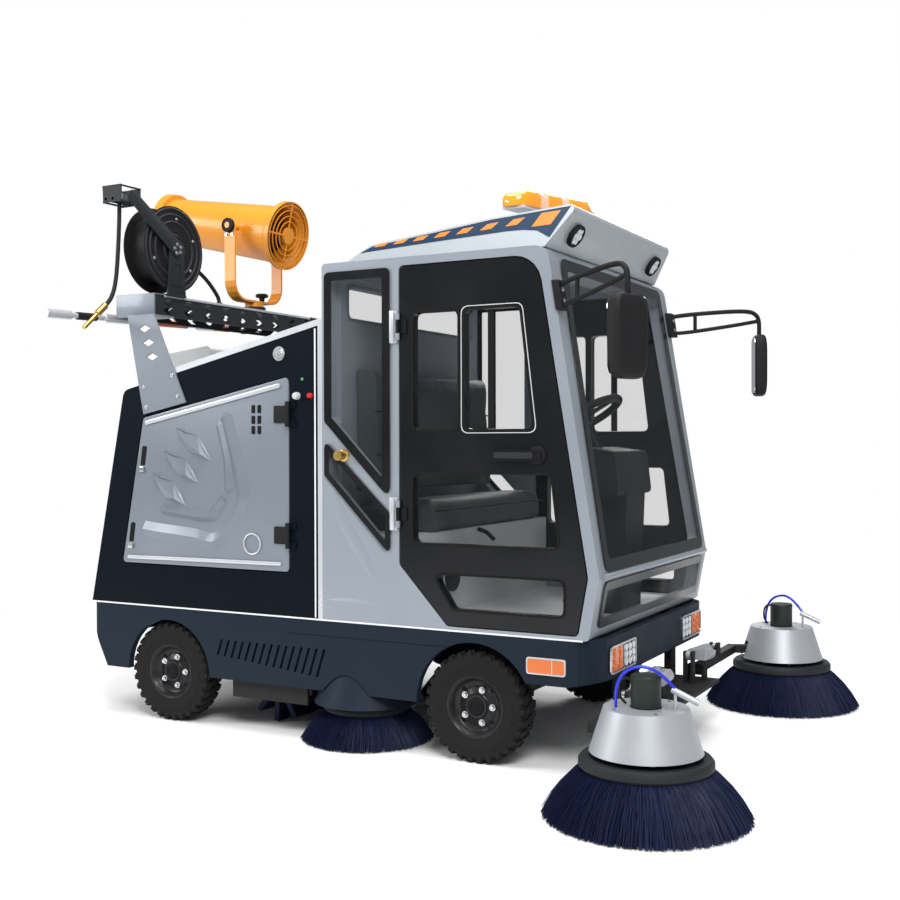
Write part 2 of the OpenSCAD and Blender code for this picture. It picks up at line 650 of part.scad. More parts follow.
// Cab doors with four windows each, as shares of the door's length and height
cab_door_len = face_x(knee_z) - pillar_w - door_rear_x;
cab_door_h = cab_door_top_z - cab_door_low_z;
window_shares = [
    [[0.075, 0.54], [0.33, 0.54], [0.33, 0.868], [0.075, 0.868]],
    [[0.365, 0.54], [0.73, 0.54], [0.66, 0.868], [0.365, 0.868]],
    [[0.075, 0.224], [0.86, 0.224], [0.82, 0.418], [0.075, 0.418]],
    [[0.3, 0.045], [0.885, 0.045], [0.885, 0.139], [0.19, 0.139]]];
function on_cab_door(s) = [door_rear_x + s[0] * cab_door_len, cab_door_low_z + s[1] * cab_door_h];
handle_shares = [[0.53, 0.455], [0.785, 0.485]];
handle_t = 22;
module cab_door(side) color([0.05, 0.05, 0.06]) centred() handed(side) {
    difference() {
        side_plate(rounded(cab_door_pts, cab_door_radii), half_w - cab_door_t, half_w);
        for (shares = window_shares)
            side_plate(rounded([for (s = shares) on_cab_door(s)], window_r), half_w - cab_door_t - over,
                half_w + over);
    }
    let (a = on_cab_door(handle_shares[0]), b = on_cab_door(handle_shares[1]))
        side_plate(rounded(box_pts(a[0], a[1], b[0], b[1]), handle_t / 2), half_w - over,
            half_w + handle_t);
    for (z = cab_hinge_zs) translate([cab_hinge_x, half_w + hinge_off, z]) hinge_moving(1);
}
module cab_door_glass(side) color([0.6, 0.7, 0.75, 0.4]) centred() handed(side)
    for (shares = window_shares)
        side_plate(rounded(inset([for (s = shares) on_cab_door(s)], seat_gap), window_r - seat_gap),
            half_w - cab_door_t / 2 - glass_t, half_w - cab_door_t / 2);

// Glass bonded on the outside of its openings
module screen_pane(pts, r, low, high) intersection() {
    front_plate(rounded(inset(pts, -pane_lap), r), cab_face_x - 2 * cab_wall, knee_x + 2 * cab_wall);
    translate([seat_gap, 0, 0]) side_plate([[face_x(low), low], [face_x(low) + glass_t, low],
        [face_x(high) + glass_t, high], [face_x(high), high]], -half_w, half_w);
}
module cab_glass() color([0.6, 0.7, 0.75, 0.4]) centred() {
    screen_pane(screen_pts, 2 * window_r, knee_z + 1.2 * pane_lap, cab_top_z - pane_lap);
    screen_pane(toe_window_pts, window_r, waist_z + pane_lap, knee_z - 1.2 * pane_lap);
    both_sides() for (pts = [quarter_pts, quarter_low_pts])
        side_plate(rounded(inset(pts, -pane_lap), window_r), half_w + seat_gap,
            half_w + seat_gap + glass_t);
    front_plate(rounded(inset(rear_window_pts, -pane_lap), window_r), cab_in_x, cab_in_x + glass_t);
}

// Floor with the hollow seat base, the bench seat, the console and the battery
floor_top_z = waist_z + floor_t;
seat_base_z = 820;
seat_reaches = [406, 435];
seat_base_x = cab_rear_x + seat_reaches[0];
seat_base_t = 15;
seat_half = 510;
seat_front_x = cab_rear_x + seat_reaches[1];
seat_drop = 30;
seat_radii = [5, 25, 45, 5];
back_gap = 4;
back_ts = [130, 85];
back_radii = [5, 30, 30, 20];
battery_gaps = [100, 60];
seat_top_z = 945;
back_top_z = 1480;
cab_in_x = cab_rear_x + cab_wall + seat_gap;
cab_in_y = half_w - cab_wall - seat_gap;
module cab_floor() color([0.85, 0.86, 0.87]) centred() {
    box([cab_in_x, -cab_in_y, waist_z], [toe_x - cab_wall - over, cab_in_y, floor_top_z]);
    difference() {
        box([cab_in_x, -cab_in_y, waist_z], [seat_base_x, cab_in_y, seat_base_z]);
        box([cab_in_x + seat_base_t, -cab_in_y + seat_base_t, floor_top_z],
            [seat_base_x - seat_base_t, cab_in_y - seat_base_t, seat_base_z - seat_base_t]);
    }
}
module seat() color([0.2, 0.22, 0.21]) centred() {
    side_plate(rounded([[cab_in_x + seat_gap, seat_base_z + seat_gap], [seat_front_x,
        seat_base_z + seat_gap],
        [seat_front_x, seat_top_z], [cab_in_x + seat_gap, seat_top_z - seat_drop]], seat_radii),
            -seat_half, seat_half);
    side_plate(rounded([[cab_in_x + seat_gap, seat_top_z + back_gap], [cab_in_x + back_ts[0],
        seat_top_z + back_gap],
        [cab_in_x + back_ts[1], back_top_z], [cab_in_x + seat_gap, back_top_z]], back_radii),
            -seat_half, seat_half);
}
module battery_pack() color([0.25, 0.25, 0.27]) centred()
    box([cab_in_x + 2 * seat_base_t, battery_gaps[0] - seat_half, floor_top_z],
        [seat_base_x - 2 * seat_base_t, seat_half - battery_gaps[0], seat_base_z - battery_gaps[1]]);
steer_reach = 169;
steer_z = 1260;
wheel_c = [wheelbase + steer_reach, steer_z];
console_reaches = [200, 395];
console_foot = 60;
console_edge = 20;
column_low = 160;
column_h = 125;
steer_shaft_h = 170;
steer_hub_low = 30;
steer_hub_h = 45;
steer_bore_h = 41;
steer_tilt = -30;
steer_r = 180;
steer_rim_r = 15;
column_r = 22;
steer_shaft_r = 10;
console_rear_x = wheelbase + console_reaches[0];
console_front_x = wheelbase + console_reaches[1];
console_half = 105;
console_top_z = 1130;
dash_half = 190;
dash_z = 960;
module at_steering() translate([wheel_c[0], 0, wheel_c[1]]) rotate([0, steer_tilt, 0]) children();
module steering_console() color([0.08, 0.08, 0.09]) centred() {
    side_plate(rounded([[console_rear_x + console_foot, floor_top_z], [console_front_x - console_edge,
        floor_top_z],
        [console_front_x, dash_z], [console_front_x - console_edge, console_top_z],
            [console_rear_x + console_edge, console_top_z + console_edge],
        [console_rear_x, dash_z]], [0, 0, console_edge, console_edge, console_edge, console_edge]),
        -console_half, console_half);
    side_plate(rounded([[console_rear_x + console_edge / 2, dash_z], [console_front_x, dash_z],
        [console_front_x - console_edge, console_top_z],
        [console_rear_x + console_edge, console_top_z + console_edge]], console_edge), -dash_half,
            dash_half);
    at_steering() {
        translate([0, 0, -column_low]) cylinder(h = column_h, r = column_r);
        translate([0, 0, -column_low]) cylinder(h = steer_shaft_h, r = steer_shaft_r);
    }
}
spoke_t = 12;
spoke_w = 26;
steer_hub_r = 34;
module steering_wheel() color([0.06, 0.06, 0.06]) centred() at_steering() difference() {
    union() {
        rotate_extrude() translate([steer_r - steer_rim_r, 0]) circle(r = steer_rim_r);
        translate([0, 0, -steer_hub_low]) cylinder(h = steer_hub_h, r = steer_hub_r);
        for (a = [0, 120, 240]) rotate([0, 0, a])
            box([0, -spoke_w / 2, -spoke_t / 2], [steer_r - steer_rim_r, spoke_w / 2, spoke_t / 2]);
    }
    translate([0, 0, -steer_hub_low - over]) cylinder(h = steer_bore_h + over,
        r = steer_shaft_r + shaft_gap);
}

// Roof cap: a wedge with leaning sides and a visor that leans forward
roof_low_half = 600;
roof_top_half = 520;
roof_setback = 80;
visor_setback = 27;
ridge_setback = 267;
ridge_drop = 26;
crest_setback = 182;
crest_h = 68;
roof_radii = [5, 5, 20, 40, 30];
roof_rear_x = cab_rear_x + roof_setback;
roof_crest = [[cab_face_x + visor_lean - visor_setback, cab_top_z + roof_front_h],
    [cab_face_x - ridge_setback, cab_top_z + roof_front_h - ridge_drop], [cab_rear_x + crest_setback,
        cab_top_z + crest_h]];
roof_pts = concat([[roof_rear_x, cab_top_z], [cab_face_x - visor_setback, cab_top_z]], roof_crest);
roof_shell = 18;
roof_front_pts = [[-roof_low_half, cab_top_z], [roof_low_half, cab_top_z], [roof_top_half,
    cab_top_z + roof_front_h + over],
    [-roof_top_half, cab_top_z + roof_front_h + over]];
function roof_top(x) = roof_crest[1][1]
    + (x - roof_crest[1][0]) * (roof_crest[0][1] - roof_crest[1][1])
        / (roof_crest[0][0] - roof_crest[1][0]);
module roof_form(d) intersection() {
    side_plate(d > 0 ? inset(concat([roof_pts[0] - [0, d + over], roof_pts[1] - [0, d + over]],
        roof_crest), d)
        : rounded(roof_pts, roof_radii), -half_w, half_w);
    front_plate(inset(concat([roof_front_pts[0] - [0, 2 * d], roof_front_pts[1] - [0, 2 * d]],
        [roof_front_pts[2], roof_front_pts[3]]), d), cab_rear_x, bumper_x + over);
}
module roof() color([0.66, 0.69, 0.73]) centred() difference() {
    roof_form(0);
    roof_form(roof_shell);
}

// Lamps: headlamp pairs, side reflectors, roof lamps and tail lamps
reflector_reaches = [215, 365];
reflector_zs = [350, 410];
reflector_r = 12;
tail_ys = [420, 540];
tail_zs = [395, 460];
reflector_pts = box_pts(wheelbase + reflector_reaches[0], reflector_zs[0],
    wheelbase + reflector_reaches[1], reflector_zs[1]);
reflector_t = 6;
roof_lamp_y = 430;
roof_lamp_r = 40;
roof_lamp_t = 26;
roof_lamp_share = 0.4;
tail_pts = box_pts(tail_ys[0], tail_zs[0], tail_ys[1], tail_zs[1]);
tail_t = 10;
visor_angle = atan2(visor_lean, roof_front_h);
module lamps() color([0.95, 0.55, 0.1]) centred() {
    both_sides() {
        headlamp_outline(lamp_in_y, lamp_split, 0, bumper_x - lamp_back, bumper_x + lamp_proud);
        headlamp_outline(lamp_split + over / 2, lamp_out_y, 0, bumper_x - lamp_back, bumper_x + lamp_proud);
        side_plate(rounded(reflector_pts, reflector_r), half_w, half_w + reflector_t);
        front_plate(rounded(tail_pts, reflector_r), rear_x - tail_t, rear_x);
        translate([cab_face_x - visor_setback + roof_lamp_share * visor_lean, roof_lamp_y,
            cab_top_z + roof_lamp_share * roof_front_h])
            rotate([0, 90 + visor_angle, 0]) translate([0, 0, seat_gap]) cylinder(h = roof_lamp_t,
                r = roof_lamp_r);
    }
}
beacon_half = 360;
beacon_h = 85;
beacon_rise = 190;
beacon_setback = 96;
beacon_radii = [60, 45, 45, 60, 45, 45];
beacon_z = cab_top_z + beacon_rise;
beacon_x = cab_face_x - beacon_setback;
beacon_sweep = 80;
beacon_w = 110;
beacon_foot_y = 150;
beacon_foot_w = 60;
module beacon() color([0.95, 0.55, 0.05]) centred() {
    translate([0, 0, beacon_z]) linear_extrude(beacon_h) polygon(rounded(
        [[beacon_x, 0], [beacon_x - beacon_sweep, beacon_half], [beacon_x - beacon_sweep - beacon_w,
            beacon_half],
         [beacon_x - beacon_w, 0], [beacon_x - beacon_sweep - beacon_w, -beacon_half],
             [beacon_x - beacon_sweep, -beacon_half]],
        beacon_radii));
    both_sides() let (x0 = beacon_x - beacon_w - beacon_foot_w / 4, x1 = beacon_x - beacon_sweep / 2)
        side_plate([[x0, roof_top(x0) + seat_gap], [x1, roof_top(x1) + seat_gap], [x1, beacon_z + over],
            [x0, beacon_z + over]],
            beacon_foot_y - beacon_foot_w / 2, beacon_foot_y + beacon_foot_w / 2);
}
mirror_reach = 669;
mirror_y = 850;
mirror_z = 1505;
mirror_r = 30;
mirror_c = [wheelbase + mirror_reach, mirror_y, mirror_z];
mirror_size = [64, 165, 275];
mirror_turn = -20;
mirror_arm_r = 10;
mirror_base_zs = [1625, 1735];
mirror_base_y = [592, 652];
mirror_base_reach = 30;
mirror_top_z = 1735;
module mirrors() color([0.05, 0.05, 0.05]) centred() both_sides() {
    side_plate([[face_x(mirror_base_zs[0]), mirror_base_zs[0]],
        [face_x(mirror_base_zs[0]) + mirror_base_reach, mirror_base_zs[0]],
        [face_x(mirror_base_zs[1]) + mirror_base_reach, mirror_base_zs[1]],
        [face_x(mirror_base_zs[1]), mirror_base_zs[1]]], mirror_base_y[0], mirror_base_y[1]);
    let (elbow = [mirror_c[0], mirror_c[1], mirror_top_z],
        base_y = mirror_base_y[1] - mirror_arm_r) {
        for (z = [mirror_base_zs[0] + mirror_arm_r * 1.5, mirror_base_zs[1] - mirror_arm_r * 1.5])
            rod([face_x(z) + mirror_base_reach / 2, base_y, z], elbow, mirror_arm_r);
        translate(elbow) sphere(r = 1.3 * mirror_arm_r);
        rod(elbow, mirror_c, mirror_arm_r);
    }
    translate(mirror_c) rotate([0, 0, mirror_turn])
        front_plate(rounded(box_pts(-mirror_size[1] / 2, -mirror_size[2] / 2, mirror_size[1] / 2,
            mirror_size[2] / 2), mirror_r),
            -mirror_size[0] / 2, mirror_size[0] / 2);
}

// Rack: a plate on each side, bent inwards under a cross beam with chevron cut-outs
strut_t = 8;
strut_rear_x = -125;
strut_top_x = [-212, -67];
strut_lift = 8;
strut_hole = 34;
strut_in = 80;
strut_low = [door_top(strut_rear_x) + strut_lift, door_top(strut_front_x) + strut_lift];
function door_top(x) = door_pts[3][1]
    + (x - door_pts[3][0]) * (door_pts[2][1] - door_pts[3][1]) / (door_pts[2][0] - door_pts[3][0])
        + door_gap;
module rack_struts() color([0.16, 0.17, 0.18]) centred() both_sides() {
    difference() {
        side_plate([[strut_rear_x, strut_low[0]], [strut_front_x, strut_low[1]],
            [strut_top_x[1], beam_low_z], [strut_top_x[0], beam_low_z]], half_w, half_w + strut_t);
        for (s = [0.52, 0.68, 0.84]) let (z = strut_low[1] + s * (beam_low_z - strut_low[1]),
            x = (strut_rear_x + strut_front_x) / 2 * (1 - s) + (strut_top_x[0] + strut_top_x[1]) / 2 * s)
            side_plate([[x - strut_hole, z], [x, z - strut_hole / 2], [x + strut_hole, z], [x,
                z + strut_hole / 2]],
                half_w - over, half_w + strut_t + over);
    }
    box([strut_top_x[0], beam_len / 2 - strut_in, beam_low_z - strut_t], [strut_top_x[1],
        half_w + strut_t, beam_low_z]);
}
beam_t = 6;
chevron_pitch = 130;
chevron_count = 4;
chevron_w = 26;
turntable_r = 55;
turntable_h = 28;
gland_r = 16;
gland_h = 22;
supply_end = [-176, -84];
module chevron(y, z, point) let (h = beam_h * 0.16)
    front_plate([[y, z], [y + point * chevron_w, z - h], [y + point * 2.4 * chevron_w, z - h],
        [y + point * 1.4 * chevron_w, z],
        [y + point * 2.4 * chevron_w, z + h], [y + point * chevron_w, z + h]], beam_x - beam_w,
            beam_x + beam_w);
module rack_beam() color([0.13, 0.14, 0.15]) centred() {
    difference() {
        box([beam_x - beam_w / 2, -beam_len / 2, beam_low_z], [beam_x + beam_w / 2, beam_len / 2,
            beam_top_z]);
        box([beam_x - beam_w / 2 + beam_t, -beam_len / 2 + beam_t, beam_low_z - over],
            [beam_x + beam_w / 2 - beam_t, beam_len / 2 - beam_t, beam_top_z - beam_t]);
        for (row = [0.3, 0.7]) let (z = beam_low_z + row * beam_h) {
            for (i = [1:chevron_count]) {
                chevron(-i * chevron_pitch - chevron_w, z, 1);
                chevron(i * chevron_pitch + chevron_w, z, -1);
            }
            front_plate([[-chevron_w, z], [0, z - beam_h * 0.16], [chevron_w, z], [0, z + beam_h * 0.16]],
                beam_x - beam_w, beam_x + beam_w);
        }
    }
    translate([cannon_x, cannon_y, beam_top_z - beam_t / 2]) cylinder(h = turntable_h, r = turntable_r);
    translate([supply_end[0], supply_end[1], beam_top_z - beam_t / 2]) cylinder(h = gland_h, r = gland_r);
    for (y = lance_clip_ys) let (p = lance_at(y))
        difference() {
            box([lance_x - lance_r - beam_t, y - lance_r, p[2] - lance_r - beam_t],
                [beam_x - beam_w / 2 + beam_t / 2, y + lance_r, p[2] + lance_r + beam_t]);
            rod(lance_at(y - 4 * lance_r), lance_at(y + 4 * lance_r), lance_r + seat_gap);
        }
}

// Stowed washing lance
lance_r = 12;
lance_gap = 40;
lance_x = beam_x - beam_w / 2 - lance_gap;
lance_ends = [[-970, 1700], [520, 1740]];
lance_clip_ys = [-420, 330];
grip_r = 19;
grip_shares = [[0, 0.09], [0.22, 0.34], [0.62, 0.7]];
function lance_at(y) = [lance_x, y, lance_ends[0][1]
    + (y - lance_ends[0][0]) * (lance_ends[1][1] - lance_ends[0][1])
        / (lance_ends[1][0] - lance_ends[0][0])];
module lance() color([0.75, 0.77, 0.8]) centred() {
    let (a = lance_ends[0][0], b = lance_ends[1][0]) {
        rod(lance_at(a), lance_at(b), lance_r);
        for (s = grip_shares) rod(lance_at(a + s[0] * (b - a)), lance_at(a + s[1] * (b - a)), grip_r);
    }
}

// Mist cannon: yoke on a turntable, barrel with guard rings, fan on the motor's shaft
yoke_w = 60;
yoke_t = 10;
yoke_half = 178;
yoke_bend = 90;
yoke_low_z = beam_top_z + turntable_h - beam_t / 2 + seat_gap;
yoke_foot_h = 20;
trunnion_r = 14;
barrel_t = 5;
tube_front_r = 137;
tube_rear_r = 109;
flare_len = 50;
outlet_len = 45;
guard_t = 4;
guard_pitch = 26;
fan_hub_r = 40;
fan_r = 118;
fan_w = 56;
fan_x = 80;
blade_t = 5;
blade_w = 60;
blade_turn = 35;
motor_len = 120;
fan_shaft_r = 12;
module at_barrel() translate([cannon_x, cannon_y, cannon_z]) rotate([0, cannon_pitch, 0]) rotate([0, 90,
    0]) children();
module cannon_yoke() color([0.9, 0.5, 0.05]) centred() translate([cannon_x, cannon_y, 0]) difference() {
    union() {
        translate([0, 0, yoke_low_z]) cylinder(h = yoke_foot_h + yoke_t / 2, r = turntable_r - over);
        difference() {
            front_plate(rounded(box_pts(-yoke_half - yoke_t, yoke_low_z + yoke_foot_h,
                yoke_half + yoke_t, cannon_z),
                [yoke_bend, yoke_bend, 0, 0]), -yoke_w / 2, yoke_w / 2);
            front_plate(rounded(box_pts(-yoke_half, yoke_low_z + yoke_foot_h + yoke_t, yoke_half,
                cannon_z + over),
                [yoke_bend - yoke_t, yoke_bend - yoke_t, 0, 0]), -yoke_w, yoke_w);
        }
        both_sides() pin_y(yoke_half, yoke_half + yoke_t, 0, cannon_z, yoke_w / 2);
    }
    pin_y(-yoke_half - 2 * yoke_t, yoke_half + 2 * yoke_t, 0, cannon_z, trunnion_r + shaft_gap);
}
motor_rear = fan_x - fan_w / 2 - motor_len;
function tube_r(z) = tube_rear_r + (z + barrel_rear - outlet_len) * (tube_front_r - tube_rear_r)
    / (barrel_front - flare_len + barrel_rear - outlet_len);
trunnion_in = tube_r(0) - barrel_t / 2;
barrel_out = [[tube_rear_r, outlet_len - barrel_rear], [outlet_r, outlet_len - barrel_rear], [outlet_r,
    -barrel_rear]];
barrel_in = [[outlet_r - barrel_t, -barrel_rear], [outlet_r - barrel_t,
    outlet_len - barrel_t - barrel_rear],
    [tube_rear_r - barrel_t, outlet_len - barrel_t - barrel_rear]];
module cannon_barrel() color([0.9, 0.5, 0.05]) centred() at_barrel() {
    rotate_extrude() polygon(concat(
        [[flare_r, barrel_front], [flare_r, barrel_front - flare_len / 2], [tube_front_r,
            barrel_front - flare_len]],
        barrel_out, barrel_in,
        [[tube_front_r - barrel_t, barrel_front - flare_len], [flare_r - barrel_t,
            barrel_front - flare_len / 2],
         [flare_r - barrel_t, barrel_front]]));
    for (r = [fan_hub_r + guard_pitch:guard_pitch:flare_r - guard_t]) translate([0, 0,
        barrel_front - guard_t])
        rotate_extrude() translate([r, 0]) square([guard_t, guard_t]);
    for (a = [0, 90]) rotate([0, 0, a])
        box([-flare_r + barrel_t / 2, -guard_t, barrel_front - 2 * guard_t], [flare_r - barrel_t / 2,
            guard_t, barrel_front - guard_t / 2]);
    translate([0, 0, barrel_front - 2 * guard_t]) cylinder(h = 2.5 * guard_t, r = fan_hub_r);
    translate([0, 0, motor_rear - over]) cylinder(h = motor_len, r = fan_hub_r);
    translate([0, 0, fan_x - fan_w / 2 - 2 * over]) cylinder(h = fan_w + over, r = fan_shaft_r);
    for (a = [45, 135, 225, 315]) rotate([0, 0, a])
        box([fan_hub_r - over, -guard_t, motor_rear],
            [tube_r(motor_rear + motor_len / 6) - barrel_t / 2, guard_t, motor_rear + motor_len / 3]);
    for (side = [right, left]) translate([0, side * trunnion_in, 0]) rotate([-90 * side, 0, 0]) {
        cylinder(h = yoke_half + 2 * yoke_t - trunnion_in, r = trunnion_r);
        translate([0, 0, yoke_half + yoke_t + seat_gap - trunnion_in]) cylinder(h = 2 * yoke_t,
            r = 2 * trunnion_r);
    }
}
module cannon_fan() color([0.2, 0.2, 0.22]) centred() at_barrel() translate([0, 0, fan_x]) difference() {
    union() {
        cylinder(h = fan_w, r = fan_hub_r, center = true);
        for (a = [0:60:300]) rotate([0, 0, a]) rotate([blade_turn, 0, 0])
            box([fan_hub_r - over, -blade_w / 2, -blade_t / 2], [fan_r, blade_w / 2, blade_t / 2]);
    }
    translate([0, 0, -fan_w]) cylinder(h = 2 * fan_w, r = fan_shaft_r + shaft_gap);
}

// Hose reel on its pedestal, with a guide arm and the two hoses
reel_lead = 45;
reel_x = beam_x + reel_lead;
reel_y = -475;
reel_rise = 207;
reel_z = beam_top_z + reel_rise;
reel_axle_r = 12;
reel_core_r = 150;
reel_flange_t = 5;
pedestal_t = 10;
pedestal_half = 60;
pedestal_gap = 8;
guide_y = -755;
guide_rise = 392;
guide_lead = 10;
guide_c = [reel_x + guide_lead, guide_y, beam_top_z + guide_rise];
guide_size = [70, 120, 70];
guide_arm_r = 14;
base_t = 8;
reel_front = reel_x + reel_w / 2 + pedestal_gap;
module reel_frame() color([0.07, 0.07, 0.08]) centred() {
    box([beam_x - beam_w / 2, reel_y - pedestal_half, beam_top_z], [reel_front + pedestal_t,
        reel_y + pedestal_half, beam_top_z + base_t]);
    front_plate(rounded([[reel_y - pedestal_half, beam_top_z], [reel_y + pedestal_half, beam_top_z],
        [reel_y + pedestal_half / 2, reel_z + pedestal_half], [reel_y - pedestal_half / 2,
            reel_z + pedestal_half]], base_t),
        reel_front, reel_front + pedestal_t);
    pin_x(reel_x - reel_w / 2 - 4 * pedestal_gap, reel_front + pedestal_t, reel_y, reel_z, reel_axle_r);
    pin_x(reel_x - reel_w / 2 - 5 * pedestal_gap, reel_x - reel_w / 2 - pedestal_gap / 2, reel_y,
        reel_z, 2 * reel_axle_r);
    let (a = [reel_y, reel_z], b = [guide_c[1], guide_c[2]], w = guide_arm_r * unit(left_of(b - a)))
        front_plate([a - 1.3 * w, b - w, b + w, a + 1.3 * w], reel_front + pedestal_t / 2,
            reel_front + 1.5 * pedestal_t);
    difference() {
        translate(guide_c) cube([2 * (reel_front + pedestal_t - guide_c[0]), guide_size[1],
            guide_size[2]], center = true);
        translate(guide_c) cube([guide_size[0] - 2 * base_t, guide_size[1] - 2 * base_t,
            2 * guide_size[2]], center = true);
    }
    pin_y(guide_c[1] - guide_size[1] / 2, guide_c[1] + guide_size[1] / 2, guide_c[0], guide_c[2],
        hose_d / 2);
}
module reel_drum() color([0.06, 0.06, 0.07]) centred() translate([reel_x, reel_y, reel_z]) rotate([0,
    90, 0]) rotate_extrude()
    polygon([[reel_axle_r + shaft_gap, -reel_w / 2], [reel_r, -reel_w / 2], [reel_r,
        reel_flange_t - reel_w / 2],
        [reel_core_r, reel_flange_t - reel_w / 2], [reel_core_r, reel_w / 2 - reel_flange_t], [reel_r,
            reel_w / 2 - reel_flange_t],
        [reel_r, reel_w / 2], [reel_axle_r + shaft_gap, reel_w / 2]]);
// Hose routes in the vehicle's own frame
reel_hose_route = [[-151, -755, 2190], [-151, -755, 2140], [-151, -756, 2100], [-151, -758, 2060],
    [-151, -760, 2020],
    [-151, -763, 1980], [-151, -766, 1940], [-151, -770, 1900], [-151, -775, 1860], [-151, -782, 1825],
        [-151, -793, 1790],
    [-151, -812, 1758], [-151, -838, 1732]];
supply_route = [[-240, -460, 2010], [-240, -420, 2009], [-240, -370, 2006], [-240, -320, 2001],
    [-238, -275, 1993], [-231, -232, 1981], [-221, -192, 1963], [-209, -157, 1938], [-197, -127, 1906],
    [-186, -103, 1872], [-179, -88, 1845], [-176, -84, 1822]];
spray_route = [[2110, 965, 343], [2110, 966, 370], [2113, 968, 400], [2122, 968, 430], [2140, 966, 454],
    [2165, 961, 469],
    [2195, 952, 474], [2224, 942, 465], [2248, 932, 448], [2268, 924, 428], [2283, 919, 410]];
spray_d = 10;
module reel_hose() color([0.05, 0.05, 0.05]) centred() tube(reel_hose_route, hose_d);
module supply_hose() color([0.05, 0.05, 0.05]) centred() tube(supply_route, hose_d);
sleeve_len = 60;
sleeve_r = 14;
nozzle_len = 95;
nozzle_r = 9;
hose_tip = reel_hose_route[len(reel_hose_route) - 1];
hose_dir = unit([0, -1, -0.85]);
module hose_end() color([0.75, 0.58, 0.25]) centred() {
    rod(hose_tip, hose_tip + hose_dir * sleeve_len, sleeve_r);
    rod(hose_tip + hose_dir * (sleeve_len - over), hose_tip + hose_dir * (sleeve_len + nozzle_len),
        nozzle_r);
}

// Wheels: tyre and dished rim about the axle, outer face towards +Y
tyre_shares = [[0, 0.42], [0.42, 0.5], [0.84, 0.47], [1, 0.36]];
dish_t = 7;
nut_count = 5;
nut_r = 11;
tyre_radii = [0, 14, 10, 8, 8, 10, 14, 0];
nut_pcd_share = 0.6;
module wheel_at(x, side) color([0.06, 0.06, 0.06]) centred() handed(side) translate([x, wheel_y,
    tyre_r]) rotate([-90, 0, 0]) {
    half = [for (s = tyre_shares) [rim_r + s[0] * (tyre_r - rim_r), s[1] * tyre_w]];
    rotate_extrude()
        polygon(rounded(concat([for (p = half) [p[0], -p[1]]], [for (i = [3:-1:0]) half[i]]), tyre_radii));
    rotate_extrude() polygon([[stub_r + shaft_gap, -tyre_w / 8], [hub_r, -tyre_w / 8], [hub_r, tyre_w / 8],
        [rim_r - rim_wall, tyre_w / 8], [rim_r - rim_wall, -0.4 * tyre_w], [rim_r - seat_gap,
            -0.4 * tyre_w],
        [rim_r - seat_gap, 0.4 * tyre_w], [rim_r - rim_wall, 0.4 * tyre_w], [rim_r - rim_wall,
            tyre_w / 8 + dish_t],
        [hub_r, tyre_w / 4], [hub_r, tyre_w / 3], [stub_r + shaft_gap, tyre_w / 3]]);
    for (i = [0:nut_count - 1]) rotate([0, 0, 360 / nut_count * i])
        translate([nut_pcd_share * rim_r, 0, tyre_w / 8]) cylinder(h = 3 * dish_t, r = nut_r, $fn = 6);
}
module wheel_front_right() wheel_at(wheelbase, right);
module wheel_front_left() wheel_at(wheelbase, left);
module wheel_rear_right() wheel_at(0, right);
module wheel_rear_left() wheel_at(0, left);
steer_arm_len = 120;
steer_arm_turn = 20;
knuckle_r = 24;
knuckle_gap = 1;
module knuckle(side) color([0.12, 0.12, 0.13]) centred() handed(side) translate([wheelbase, kingpin_y,
    tyre_r]) difference() {
    union() {
        cylinder(h = fork_gap - 2 * knuckle_gap, r = knuckle_r, center = true);
        pin_y(0, kingpin_inset + tyre_w / 4, 0, 0, stub_r);
        rotate([0, 0, 180 + steer_arm_turn])
            box([0, -knuckle_r / 2, -knuckle_r / 2], [steer_arm_len, knuckle_r / 2, knuckle_r / 2]);
    }
    cylinder(h = fork_gap + over, r = kingpin_r + shaft_gap, center = true);
}

// Round brush: plate with two rings of spreading tufts, and its hub
module round_brush(r, plate_r, plate_z, plate_t, hub_z, hub_r, tufts) difference() {
    union() {
        translate([0, 0, plate_z - plate_t]) cylinder(h = plate_t, r = plate_r);
        translate([0, 0, plate_z - over]) cylinder(h = hub_z - plate_z + over, r = hub_r);
        for (ring = tuft_rings) for (i = [0:tufts - 1]) rotate([0, 0, 360 / tufts * (i + ring[2])])
            let (a = [ring[0] * plate_r, 0, plate_z - plate_t / 2], b = [ring[1] * r, 0, 0])
            translate(a) rotate([0, 90 + atan2(a[2], b[0] - a[0]), 0])
                cylinder(h = norm(b - a), r1 = tuft_r, r2 = tuft_tip_r, $fn = 16);
    }
    translate([0, 0, -r]) cylinder(h = r + tip_z, r = 2 * r);
    difference() {
        translate([0, 0, -r]) cylinder(h = 3 * r, r = 2 * r);
        translate([0, 0, -2 * r]) cylinder(h = 5 * r, r = r);
    }
}
// Rings of tufts: seat and tip as shares of the plate and brush radii, and turn in steps
tuft_rings = [[0.86, 0.97, 0], [0.66, 0.78, 0.5]];
tuft_r = 13;
tuft_tip_r = 26;
tuft_count = 22;
front_plate_t = 40;
hub_stub_r = 30;
arm_low_z = 222;
arm_high_z = 256;
arm_half = 20;
arm_bend_in = 86;
spray_reach = 75;
spray_drop = 35;
arm_bend_y = brush_y - arm_bend_in;
module front_brush(side) color([0.08, 0.1, 0.22]) centred() handed(side) translate([brush_x, brush_y, 0])
    round_brush(brush_r, brush_plate_r, brush_plate_z, front_plate_t, arm_low_z - seat_gap, hub_stub_r,
        tuft_count);
mid_plate_r = 170;
mid_plate_z = 140;
mid_plate_t = 30;
mid_tufts = 18;
mid_top_t = 5;
module mid_brush(side) color([0.08, 0.1, 0.22]) centred() handed(side) translate([mid_x, mid_y, 0])
    round_brush(mid_r, mid_plate_r, mid_plate_z, mid_plate_t, mid_cover_top_z - mid_top_t - seat_gap,
        hub_stub_r, mid_tufts);

